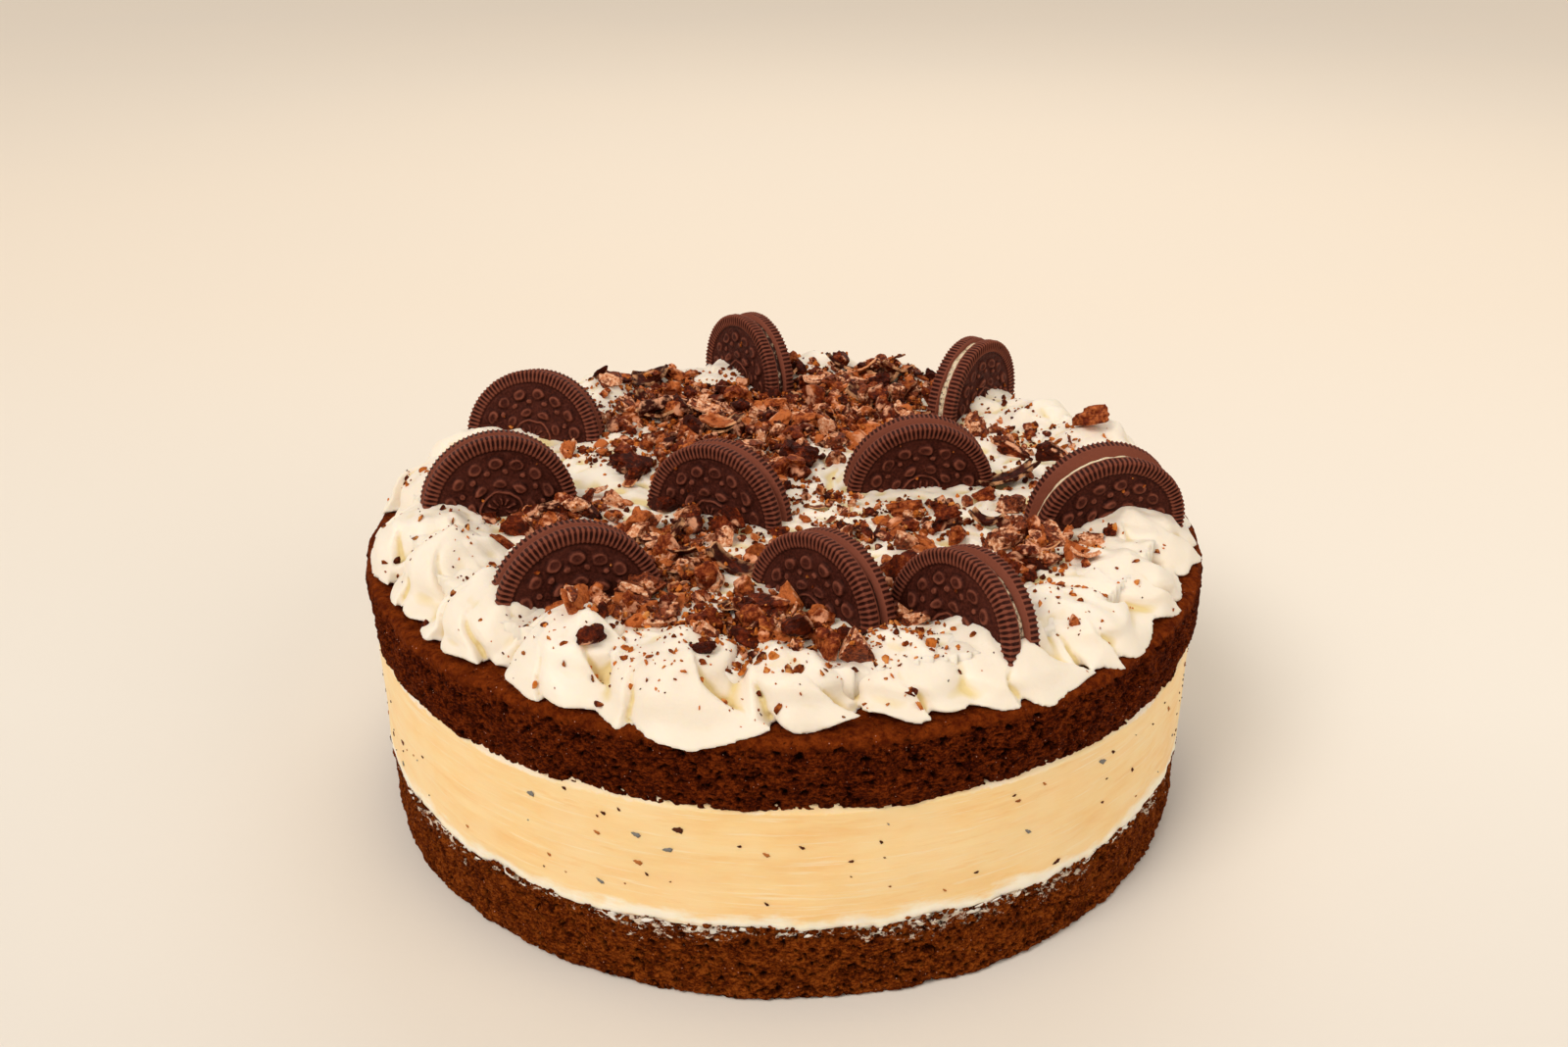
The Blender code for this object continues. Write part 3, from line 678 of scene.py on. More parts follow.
def makeLowerSponge(dice):
    top = cake["lowerSpongeTop"]
    sponge = makeWall("lowerSponge", cake["radius"] - 0.0004, 0.0, top, wall["spongeRows"], (0.002, 0.009))
    tearSponge(sponge, 0.0, top, None, cake["lowerSeam"], wall["lowerSeed"], False)
    crumbs = seamBits(dice, "seamCrumbs", *wall["seamCrumbs"])
    paintEvenly(crumbs, pit=0.0, crust=0.0, seamAway=9.0)
    sponge = joinPieces([sponge, crumbs], "lowerSponge")
    dress(sponge, spongeFinish("lowerSpongeCrumb", wall["lowerSponge"]), "lower_sponge", "sponge_bottom")


def makeIceCream(dice):
    lapBelow, lapAbove = wall["iceLap"]
    bottom, top = cake["lowerSpongeTop"] - lapBelow, cake["iceCreamTop"] + lapAbove
    band = makeWall("iceCreamBand", cake["radius"], bottom, top, wall["iceCreamRows"], (0.002,))
    smoothIceCream(band)
    smears = seamBits(dice, "smears", *wall["smears"])
    paintEvenly(smears, aboveSeam=0.0, belowTop=9.0)
    band = joinPieces([band, smears], "iceCreamBand")
    dress(band, iceCreamFinish(), "ice_cream", "ice_cream")
    dress(iceCreamSpecks(dice), speckFinish(), "ice_cream", "ice_cream")


def makeUpperSponge():
    bottom, top = cake["iceCreamTop"] + cake["gap"], cake["upperSpongeTop"]
    sponge = makeWall("upperSponge", cake["radius"], bottom, top, wall["spongeRows"], (0.001,) * 9)
    tearSponge(sponge, bottom, top, cake["upperSeam"], None, wall["upperSeed"], True)
    dress(sponge, spongeFinish("upperSpongeCrumb", wall["upperSponge"]), "upper_sponge", "sponge_top")


layersDice = random.Random(5)
makeLowerSponge(layersDice)
makeIceCream(layersDice)
makeUpperSponge()
print("layers made")


# Whipped cream: the piped border and the bed inside it

cream = {
    "bedRadius": 0.106,
    "bedTop": 0.0805,
    "bedWave": 0.0013,
    "bedWaveSize": 0.016,
    "ringRadius": 0.0975,
    "ringStray": 0.0012,
    "swirlRadius": 0.0185,
    "radiusRange": (0.93, 1.07),
    "swirlHeight": 0.0152,
    "heightRange": (0.86, 1.08),
    "tipLean": 0.003,
    "lobes": 5,
    "lobeWidths": (0.60, 1.40),
    "lobeReaches": (0.88, 1.08),
    "samples": 22,
    "groove": 0.30,
    "fin": 0.07,
    "foldOver": 0.15,       # how far a lobe's edge laps over the next, as a share of the lobe
    "twist": math.radians(-42),
    "skirtRadius": 0.1125,
    "skirtPull": 0.48,
    "skirtDrop": 0.34,
    "voxel": 0.00062,
    "facesKept": 0.475,     # share of the faces left after thinning, which takes the flat underside first
    "swirlAngles": (-104, -89, -75, -61, -46, -30, -14, 3, 20, 35, 50, 66, 82, 98, 113, 129,
                    145, 161, 177, 193, 208, 224, 240),
    # height up the swirl, and its share of the full radius there
    "outline": ((0.0, 0.82), (0.03, 0.95), (0.06, 1.06), (0.10, 1.09), (0.15, 1.00), (0.21, 0.92),
                (0.29, 0.86), (0.38, 0.81), (0.48, 0.76), (0.58, 0.705), (0.68, 0.635), (0.77, 0.555),
                (0.85, 0.46), (0.91, 0.35), (0.96, 0.21), (1.0, 0.06)),
    # the plainer outline that the solids have, and how far a swirl reaches on average
    "plainOutline": ((0.13, 1.05), (0.42, 0.80), (0.80, 0.50), (1.0, 0.0)),
    "meanReach": 0.88,
    "wander": 0.30,         # how far the grooves stray from a straight twist
    "coilTurns": 1.5,
    "coilDepth": 0.055,
    "points": 0.75,         # how much further the lobes of the skirt stand out from its grooves
    "ruffle": 0.0020,
    "bulge": 0.09,          # how unevenly the skirt swells, and over what length
    "bulgeSize": 0.0080,
    "peakHeight": 0.0024,   # small peaks and dips on the swirl
    "peakSize": 0.0065,
    "topSink": 0.0012,      # how far the top sinks, and how far it rises again on some swirls
    "topRise": 0.0030,
    "heaps": ((0.022, 0.072, 0.026, 10), (-0.030, 0.060, 0.026, 9), (-0.024, 0.030, 0.020, 7),
              (0.010, 0.036, 0.016, 4), (0.062, 0.034, 0.012, 2), (-0.058, -0.020, 0.014, 3),
              (0.064, -0.042, 0.012, 2), (-0.026, -0.060, 0.018, 6), (-0.004, -0.084, 0.012, 3),
              (0.040, -0.030, 0.018, 3)),
    "heapRise": 0.0016,
    "bedGrid": 190,
    "foldSize": (0.0095, 0.0075),   # soft ridges in the bed, across and along, and their height
    "foldHeight": 0.0026,
    "smallFold": 0.0007,
    "bedRim": (0.080, 0.094, 0.0022),   # where the bed rises to meet the border, and how far
}
creamDice = random.Random(20)   # the same draws as the solids'


def lobeDepth(share):
    # From the groove out to a broad round back, up to a thin edge, and steeply into the next groove
    rise = math.sin(math.pi / 2 * min(share / 0.42, 1.0)) ** 0.7
    fin = cream["fin"] * smoothStep(0.55, 0.88, share)
    fall = smoothStep(1.0, 0.90, share)
    return (1.0 - cream["groove"]) + (cream["groove"] * rise + fin) * fall


def swirlOutline(dice):
    # Lobes of uneven width and reach, each lapping a little over the next
    widths = [dice.uniform(*cream["lobeWidths"]) for _ in range(cream["lobes"])]
    reaches = [dice.uniform(*cream["lobeReaches"]) for _ in range(cream["lobes"])]
    start = dice.uniform(0.0, math.tau)
    outline = []
    for index, (width, reach) in enumerate(zip(widths, reaches)):
        span = width / sum(widths) * math.tau
        following = reaches[(index + 1) % cream["lobes"]]
        for step in range(cream["samples"]):
            share = step / cream["samples"]
            ahead = cream["foldOver"] * smoothStep(0.45, 0.86, share) * smoothStep(1.0, 0.88, share)
            out = reach + (following - reach) * smoothStep(0.86, 1.0, share)
            outline.append((start + span * (share + ahead), out * lobeDepth(share)))
        start += span
    return outline


def pipeSwirl(number, angle, dice):
    # A lobed ring is drawn up, turned and narrowed step by step, as a star tip leaves it
    radius = cream["swirlRadius"] * dice.uniform(*cream["radiusRange"])
    height = cream["swirlHeight"] * dice.uniform(*cream["heightRange"])
    ring = cream["ringRadius"] + dice.uniform(-cream["ringStray"], cream["ringStray"])
    centre = Vector((ring * math.cos(angle), ring * math.sin(angle), creamBottom))
    lean = [dice.uniform(-cream["tipLean"], cream["tipLean"]) for _ in range(2)]
    lean = Vector((lean[0], lean[1], 0.0))
    outline = swirlOutline(dice)
    bpy.ops.mesh.primitive_circle_add(vertices=len(outline), radius=1.0, fill_type="NGON")
    swirl = startPiece(f"swirl{number}")
    first = cream["outline"][0][1] * radius
    for vertex, (turn, reach) in zip(swirl.data.vertices, outline):
        vertex.co = centre + outward(turn) * first * reach
    editMode(swirl)
    for (low, wide), (high, narrow) in zip(cream["outline"], cream["outline"][1:]):
        step = Vector((0.0, 0.0, (high - low) * height)) + lean * (high * high - low * low)
        bpy.ops.mesh.extrude_region_move(TRANSFORM_OT_translate={"value": step})
        here = centre + Vector((0.0, 0.0, high * height)) + lean * high * high
        bpy.ops.transform.rotate(value=-cream["twist"] * (high - low), orient_axis="Z", center_override=here)
        bpy.ops.transform.resize(value=(narrow / wide, narrow / wide, 1.0), center_override=here)
    objectMode()
    levels = [row[0] for row in cream["outline"]]
    shares = [row[1] for row in cream["outline"]]
    shift = Vector((0.0, 0.0, number * 1.7))

    def relax(place):
        # Grooves wander and fade towards a blunt top, a soft coil shows, and the thin skirt ruffles and sags
        offset = place - centre
        level = min(max(offset.z / height, 0.0), 1.0)
        widest = radius * np.interp(level, levels, shares)
        axis = lean * level * level
        flat = Vector((offset.x - axis.x, offset.y - axis.y, 0.0))
        stray = cream["wander"] * noise.noise(place / 0.010 + shift) * smoothStep(0.05, 0.5, level)
        flat.rotate(Euler((0.0, 0.0, stray)))
        place = centre + Vector((axis.x + flat.x, axis.y + flat.y, offset.z))
        depth = max(1.0 - flat.length / max(widest, 1e-6), 0.0)
        place.z -= 0.12 * height * level * depth
        place += flat * (depth * 0.85 * smoothStep(0.25, 0.90, level))
        turn = math.atan2(flat.y, flat.x)
        coil = math.sin(math.tau * cream["coilTurns"] * level + turn + number * 2.1)
        coil *= cream["coilDepth"]
        place += flat * (coil * smoothStep(0.10, 0.30, level) * smoothStep(1.0, 0.75, level))
        skirt = smoothStep(0.45, 0.05, level)
        full = flat.length / widest
        place += flat * (cream["points"] * (full - 0.93) * smoothStep(0.30, 0.08, level))
        place += flat * (cream["bulge"] * noise.noise(place / cream["bulgeSize"] + shift) * skirt)
        edge = skirt * smoothStep(0.6, 1.0, flat.length / radius)
        place.z += cream["ruffle"] * noise.noise(Vector((turn * 1.9, number * 3.3, 0.0))) * edge
        peak = cream["peakHeight"] * noise.noise(place / cream["peakSize"] - shift)
        place.z += peak * smoothStep(0.30, 0.85, level)
        place.z -= cream["topSink"] * smoothStep(0.45, 0.9, level)
        rise = max(noise.noise(Vector((number * 3.7, 0.5, 0.5))), 0.0)
        place.z += cream["topRise"] * rise * smoothStep(0.80, 1.0, level)
        reach = place.xy.length
        if reach > cream["skirtRadius"]:
            over = reach - cream["skirtRadius"]
            place.z -= over * cream["skirtDrop"] * skirt
            place.xy *= 1.0 - cream["skirtPull"] * over / reach
        return place

    moveVertices(swirl, relax)
    return swirl


def heapRise(x, y):
    rise = 0.0
    for heapX, heapY, spread, _ in cream["heaps"]:
        away = math.hypot(x - heapX, y - heapY) / spread
        rise = max(rise, cream["heapRise"] * math.exp(-away * away))
    return rise


def bedHeight(x, y):
    wave = noise.noise(Vector((x / cream["bedWaveSize"], y / cream["bedWaveSize"], 3.0)))
    return cream["bedTop"] + cream["bedWave"] * wave + heapRise(x, y)


def lieHeight(x, y):
    # The level that a piece lies on in the solids: the bed, or a swirl where one is higher
    best = 0.0
    for degrees in cream["swirlAngles"]:
        angle = math.radians(degrees)
        ring = cream["ringRadius"]
        away = math.hypot(x - ring * math.cos(angle), y - ring * math.sin(angle))
        away /= cream["swirlRadius"] * cream["meanReach"]
        for (low, wide), (high, narrow) in zip(cream["plainOutline"], cream["plainOutline"][1:]):
            if narrow <= away <= wide:
                best = max(best, low + (high - low) * (wide - away) / (wide - narrow))
    return max(bedHeight(x, y), creamBottom + cream["swirlHeight"] * best)


def bedFolds(x, y):
    # Soft ridges that the spreading left
    across, along = cream["foldSize"]
    warp = noise.noise(Vector((x / 0.020, y / 0.020, 9.0)))
    ridge = noise.noise(Vector((x / across + warp * 1.6, y / along - warp, 17.0)))
    small = noise.noise(Vector((x / 0.0040, y / 0.0040, 5.0)))
    return cream["foldHeight"] * (0.45 - abs(ridge)) + cream["smallFold"] * small


def makeBorder():
    swirls = [pipeSwirl(number, math.radians(degrees), creamDice)
              for number, degrees in enumerate(cream["swirlAngles"])]
    border = joinPieces(swirls, "creamBorder")
    applyModifier(border, "REMESH", mode="VOXEL", voxel_size=cream["voxel"], use_smooth_shade=True)
    applyModifier(border, "SMOOTH", factor=0.5, iterations=3)
    return border


def makeBed():
    bpy.ops.mesh.primitive_grid_add(x_subdivisions=cream["bedGrid"], y_subdivisions=cream["bedGrid"],
                                    size=cream["bedRadius"] * 2.0, location=(0.0, 0.0, cream["bedTop"]))
    bed = startPiece("creamBed")
    settle(bed)
    selectWhere(bed, "VERT", lambda vertex: vertex.co.xy.length > cream["bedRadius"] - 0.002)
    bpy.ops.mesh.delete(type="VERT")
    bpy.ops.mesh.select_all(action="SELECT")
    depth = cream["bedTop"] - creamBottom
    bpy.ops.mesh.extrude_region_move(TRANSFORM_OT_translate={"value": (0.0, 0.0, -depth)})
    bpy.ops.mesh.dissolve_faces()
    bpy.ops.mesh.select_all(action="SELECT")
    bpy.ops.mesh.normals_make_consistent(inside=False)
    objectMode()

    rimStart, rimEnd, rimRise = cream["bedRim"]

    def spread(place):
        if place.z > creamBottom + 0.001:
            place.z = bedHeight(place.x, place.y) + bedFolds(place.x, place.y)
            place.z += rimRise * smoothStep(rimStart, rimEnd, place.xy.length)
        return place

    moveVertices(bed, spread)
    return bed


def markCreases(piece, rounds):
    # How far each vertex lies below the mean of its surroundings, along its normal
    mesh = piece.data
    places = verticesOf(piece)
    edges = np.zeros(len(mesh.edges) * 2, dtype=np.int64)
    mesh.edges.foreach_get("vertices", edges)
    first, second = edges[0::2], edges[1::2]
    count = np.bincount(np.concatenate([first, second]), minlength=len(places))
    count = np.maximum(count, 1)
    mean = places.copy()
    for _ in range(rounds):
        total = np.zeros_like(mean)
        for axis in range(3):
            total[:, axis] = np.bincount(first, mean[second, axis], len(places))
            total[:, axis] += np.bincount(second, mean[first, axis], len(places))
        mean = total / count[:, None]
    normals = np.zeros(len(places) * 3)
    mesh.vertices.foreach_get("normal", normals)
    paint(piece, "crease", np.einsum("ij,ij->i", mean - places, normals.reshape(-1, 3)) * 1000.0)


def creamFinish():
    look = Finish("whippedCream", {"Roughness": 0.5, "Subsurface Weight": 0.28, "Subsurface Scale": 0.002,
                                   "Subsurface Radius": (1.0, 0.75, 0.4), "Specular IOR Level": 0.4})
    soft = look.ramp(look.noise(0.020, 3.0), ((0.35, (0.870, 0.765, 0.62)), (0.65, (0.920, 0.820, 0.68))))
    # Painted shade: the creases are coloured darker and yellower
    crease = look.between(look.attribute("crease"), 0.07, 0.60)
    colour = look.mix(crease, soft, (0.78, 0.62, 0.30))
    normal = look.bump(look.noise(0.0016, 4.0, 0.55), 0.00025, 0.5)
    return look.finished(colour, look.wandering(0.006, 0.42, 0.6), normal)


border = makeBorder()
bed = makeBed()
markCreases(border, 30)
markCreases(bed, 20)
applyModifier(border, "DECIMATE", ratio=cream["facesKept"])
whipped = creamFinish()
dress(border, whipped, "whipped_cream", "whipped_cream")
dress(bed, whipped, "whipped_cream", "whipped_cream")
print("cream made:", len(border.data.polygons), "and", len(bed.data.polygons), "faces")


# Sandwich cookies

cookie = {
    "radius": 0.0213,
    "waferThickness": 0.0037,
    "fillingThickness": 0.0018,
    "fillingRadius": 0.0198,
    "rimWidth": 0.0040,
    "ridges": 96,
    "ridgeDepth": 0.00068,
    "fieldDepth": 0.0009,
    "reliefHeight": 0.00085,
    "sideCuts": (0.0006, 0.0012, 0.0019, 0.0026, 0.0031),
    "faceInsets": ((3, 0.0003), (6, 0.0005), (4, 0.0002), (42, 0.00038)),
    "rounding": 0.0009,
    "rimSlope": 0.0007,
    "fieldEdge": 0.0004,
    "stray": 0.00055,       # how far the moulded pattern strays from true, and over what length
    "straySize": 0.0032,
    # rings of beads: how many, start, ring radius, half the width and length of one, and how high
    "beads": (
        (15, 0.0, 0.01395, 0.0019, 0.0023, 1.0),
        (15, 0.5, 0.01155, 0.0009, 0.0010, 0.7),
        (9, 0.3, 0.0082, 0.0015, 0.0023, 1.0),
    ),
    "ringLine": (0.0057, 0.0005),
    "rays": (12, 0.0014, 0.0046, 0.0008),   # how many, where they start and end, and how softly
    "paleFillings": {1: 0.75, 2: 0.25, 7: 0.0, 10: 0.5},   # how much painted shade darkens these fillings between the wafers; the others wholly
    "splayRoom": 0.002,
    # centre, way that the front wafer faces, lean back, and how far the back wafer has come away
    "places": (
        (-0.0120, 0.0925, 0.0828, -57, 3, 0),
        (0.0611, 0.0700, 0.0816, 54, 1, 0),
        (-0.0770, 0.0445, 0.0797, -11, 16, 0),
        (-0.0785, -0.0122, 0.0819, 18, 6, 0),
        (-0.0180, -0.0130, 0.0795, -30, 6, 0),
        (0.0385, 0.0060, 0.0799, 7, -4, 1),
        (0.0875, -0.0186, 0.0805, 12, -7, 5),
        (-0.0505, -0.0657, 0.0798, 22, 7, 0),
        (0.0087, -0.0665, 0.0778, -46, 9, 0),
        (0.0416, -0.0780, 0.0788, -53, 10, 1),
    ),
}


def oval(x, y, angle, radius, across, along):
    # 1 in the middle of a rounded oval lying on a circle, falling to 0 at its edge
    centreX, centreY = radius * math.cos(angle), radius * math.sin(angle)
    outward = (x - centreX) * math.cos(angle) + (y - centreY) * math.sin(angle)
    around = -(x - centreX) * math.sin(angle) + (y - centreY) * math.cos(angle)
    distance = np.sqrt((outward / across) ** 2 + (around / along) ** 2)
    return np.clip((1.0 - distance) * 3.2, 0.0, 1.0)


def facePattern(x, y):
    # Plain raised beads in rings, a ring line between them and a rayed middle
    reach = np.hypot(x, y)
    turn = np.arctan2(y, x)
    relief = np.zeros_like(x)
    for count, start, ring, across, along, height in cookie["beads"]:
        for number in range(count):
            bead = oval(x, y, (number + start) / count * math.tau, ring, across, along)
            relief = np.maximum(relief, height * bead)
    ring, half = cookie["ringLine"]
    line = np.clip(1.0 - np.abs(reach - ring) / half, 0.0, 1.0)
    count, first, last, soft = cookie["rays"]
    rays = np.clip(np.cos(count * turn) + 0.2, 0.0, 1.0) * np.clip((last - reach) / soft, 0.0, 1.0)
    rays *= np.clip((reach - first) / soft, 0.0, 1.0)
    return np.maximum(relief, np.maximum(line, rays))


def cutLevels(heights):
    # Level cuts right through the piece that is in edit mode
    for height in heights:
        bpy.ops.mesh.select_all(action="SELECT")
        bpy.ops.mesh.bisect(plane_co=(0.0, 0.0, height), plane_no=(0.0, 0.0, 1.0))


def makeWaferMaster():
    radius, thick, rounding = cookie["radius"], cookie["waferThickness"], cookie["rounding"]
    bpy.ops.mesh.primitive_cylinder_add(vertices=cookie["ridges"] * 3, radius=radius, depth=thick,
                                        location=(0.0, 0.0, thick / 2))
    wafer = startPiece("waferMaster")
    settle(wafer)
    editMode(wafer)
    cutLevels(cookie["sideCuts"])
    selectWhere(wafer, "FACE", lambda face: face.center.z > thick - 1e-5)
    for count, step in cookie["faceInsets"]:
        for _ in range(count):
            bpy.ops.mesh.inset(thickness=step, use_even_offset=True)
    bpy.ops.mesh.poke()
    objectMode()
    places = verticesOf(wafer)
    x, y, z = places.T
    reach = np.hypot(x, y)
    turn = np.arctan2(y, x)
    top = z > thick - 1e-5
    layers = [Vector((0.0, 0.0, height)) for height in (0.0, 0.02, 0.04)]
    stray = np.array([[noise.noise((Vector((a, b, 0.0)) + layer) / cookie["straySize"]) for layer in layers]
                      for a, b in zip(x, y)])
    groove = np.clip(-np.cos(cookie["ridges"] * turn), 0.0, 1.0) ** 0.8
    inner = radius - cookie["rimWidth"]
    band = np.clip((reach - inner) / cookie["rimSlope"], 0.0, 1.0)
    edge = np.clip((reach - (radius - rounding)) / rounding, 0.0, 1.0)
    rounded = rounding * (1.0 - np.sqrt(np.clip(1.0 - edge ** 2, 0.0, 1.0)))
    face = thick - cookie["fieldDepth"] * (1.0 - band) - 0.75 * rounded - cookie["ridgeDepth"] * groove * band
    inField = np.clip((inner - cookie["fieldEdge"] - reach) / cookie["fieldEdge"], 0.0, 1.0)
    pattern = facePattern(x + cookie["stray"] * stray[:, 0], y + cookie["stray"] * stray[:, 1])
    face += cookie["reliefHeight"] * (pattern * (0.85 + 0.6 * stray[:, 2]) + 0.35 * stray[:, 0]) * inField
    z = np.where(top, face, z * (1.0 - 0.12 * edge))
    side = ~top & (reach > radius * 0.9)
    low = np.clip(z / rounding, 0.0, 1.0)
    pull = 0.85 * cookie["ridgeDepth"] * groove
    pull = np.where(side, pull * low + 0.0004 * (1.0 - low), pull * edge)
    scale = np.where(reach > 1e-6, (reach - pull) / np.maximum(reach, 1e-6), 1.0)
    putVertices(wafer, np.stack([x * scale, y * scale, z], 1))
    return wafer


def makeFillingMaster():
    bpy.ops.mesh.primitive_cylinder_add(vertices=120, radius=cookie["fillingRadius"],
                                        depth=cookie["fillingThickness"] + 0.0005)
    filling = startPiece("fillingMaster")
    editMode(filling)
    cutLevels((-0.0006, 0.0, 0.0006))
    objectMode()
    return filling


def markCrests(wafer):
    # How far each point stands out, less on the face than on the rim; the finish paints highlight and shade
    # from it
    markCreases(wafer, 4)
    crease = np.zeros(len(wafer.data.vertices), dtype=np.float32)
    wafer.data.attributes["crease"].data.foreach_get("value", crease)
    reach = np.hypot(*verticesOf(wafer)[:, :2].T)
    onFace = np.clip((cookie["radius"] - cookie["rimWidth"] - reach) / 0.0006, 0.0, 1.0)
    paint(wafer, "crest", -crease * 2.2 * (1.0 - 0.45 * onFace))
    wafer.data.attributes.remove(wafer.data.attributes["crease"])


def backWaferPlace(splay):
    half = cookie["fillingThickness"] / 2 + cake["gap"]
    hinge = Vector((0.0, -cookie["radius"], -half))
    turn = Matrix.Rotation(-splay, 4, "X")
    over = Matrix.Rotation(math.pi, 4, "Y")
    aside = Matrix.Translation(hinge) @ turn @ Matrix.Translation(-hinge)
    return aside @ Matrix.Translation((0, 0, -half)) @ over


def standInCream(piece):
    # Cut flat where the sponge begins, as its solid is
    editMode(piece)
    bpy.ops.mesh.bisect(plane_co=(0.0, 0.0, creamBottom), plane_no=(0.0, 0.0, 1.0),
                        use_fill=True, clear_inner=True)
    objectMode()


def copyOf(master, name, place):
    piece = master.copy()
    piece.data = master.data.copy()
    piece.name = piece.data.name = name
    bpy.context.collection.objects.link(piece)
    piece.data.transform(place)
    return piece


def bakeUneven(piece, dice, depth, size):
    offset = Vector([dice.uniform(-9.0, 9.0) for _ in range(3)])
    normals = np.zeros(len(piece.data.vertices) * 3)
    piece.data.vertices.foreach_get("normal", normals)
    places = verticesOf(piece)
    push = [noise.noise(place / size + offset) + 0.5 * noise.noise(place / (size * 0.4) - offset)
            for place in map(Vector, places)]
    putVertices(piece, places + normals.reshape(-1, 3) * (np.array(push) * depth)[:, None])


def waferFinish():
    look = Finish("cocoaWafer", {"Roughness": 0.62, "Specular IOR Level": 0.07})
    grain = look.noise(0.0007, 5.0, 0.7)
    colour = look.ramp(grain, ((0.36, (0.026, 0.0045, 0.0022)), (0.52, (0.056, 0.0112, 0.0060)),
                               (0.70, (0.105, 0.0240, 0.0135))))
    wide = look.between(look.noise(0.009, 3.0), 0.4, 0.65)
    colour = look.mix(look.times(wide, 0.35), colour, (0.100, 0.024, 0.0145))
    # Painted highlight: the wafer is lighter where it stands out
    crest = look.between(look.attribute("crest"), 0.03, 0.24)
    colour = look.mix(look.times(crest, 0.75), colour, (0.270, 0.078, 0.044))
    # Painted shade: the wafer is darker in its hollows
    hollowShade = look.between(look.attribute("crest"), -0.04, -0.24)
    colour = look.mix(look.times(hollowShade, 0.7), colour, (0.010, 0.0018, 0.0009))
    normal = look.bump(look.noise(0.00035, 4.0, 0.7), 0.0002, 0.7)
    normal = look.bump(look.noise(0.0012, 4.0, 0.6), 0.00035, 0.6, normal)
    return look.finished(colour, look.wandering(0.001, 0.5, 0.75), normal)


def fillingFinish():
    look = Finish("cookieCream", {"Roughness": 0.55, "Subsurface Weight": 0.15, "Subsurface Scale": 0.002,
                                  "Specular IOR Level": 0.35})
    colour = look.ramp(look.noise(0.0016, 4.0), ((0.35, (0.70, 0.52, 0.32)), (0.65, (0.86, 0.72, 0.50))))
    crumbs = look.maths("LESS_THAN", look.cells(0.0016), 0.14)
    colour = look.mix(look.times(crumbs, 0.7), colour, (0.14, 0.06, 0.04))
    # Painted shade in the gap between the wafers: the filling is darkened, in patches or wholly
    dust = look.plus(look.noise(0.0013, 4.0, 0.6), look.times(look.attribute("dust"), 0.42))
    colour = look.mix(look.between(dust, 0.62, 0.80), colour, (0.045, 0.012, 0.006))
    return look.finished(colour, None, look.bump(look.noise(0.0008, 4.0), 0.0003, 0.6))


def cookieFrame(x, y, z, facing, lean):
    turn = Euler((math.pi / 2 - math.radians(lean), 0.0, math.radians(facing))).to_matrix().to_4x4()
    return Matrix.Translation((x, y, z)) @ turn


def makeCookies():
    dice = random.Random(31)
    waferMaster = makeWaferMaster()
    markCrests(waferMaster)
    fillingMaster = makeFillingMaster()
    cocoa, fillingLook = waferFinish(), fillingFinish()
    half = cookie["fillingThickness"] / 2 + cake["gap"]
    for number, (x, y, z, facing, lean, splay) in enumerate(cookie["places"], start=1):
        place = cookieFrame(x, y, z, facing, lean)
        sides = {"front": Matrix.Translation((0, 0, half)), "back": backWaferPlace(math.radians(splay))}
        for side, local in sides.items():
            roll = Matrix.Rotation(dice.uniform(0.0, math.tau), 4, "Z")
            wafer = copyOf(waferMaster, f"{side}Wafer{number:02d}", place @ local @ roll)
            bakeUneven(wafer, dice, 0.00010, 0.0022)
            standInCream(wafer)
            dress(wafer, cocoa, "wafer", f"cookie_{number:02d}_{side}_wafer")
        # How much painted shade darkens the filling; a darker one also sits further in
        dusty = cookie["paleFillings"].get(number, 1.0)
        shrink = 1.0 - 0.035 * dusty
        local = Matrix.Diagonal((shrink, shrink, 1.0, 1.0))
        middle = copyOf(fillingMaster, f"cookieFilling{number:02d}", place @ local)
        bakeUneven(middle, dice, 0.00045, 0.004)
        standInCream(middle)
        paintEvenly(middle, dust=dusty)
        dress(middle, fillingLook, "cookie_filling", f"cookie_{number:02d}_filling")
    bpy.data.objects.remove(waferMaster)
    bpy.data.objects.remove(fillingMaster)


makeCookies()
print("cookies made")


# Crumble

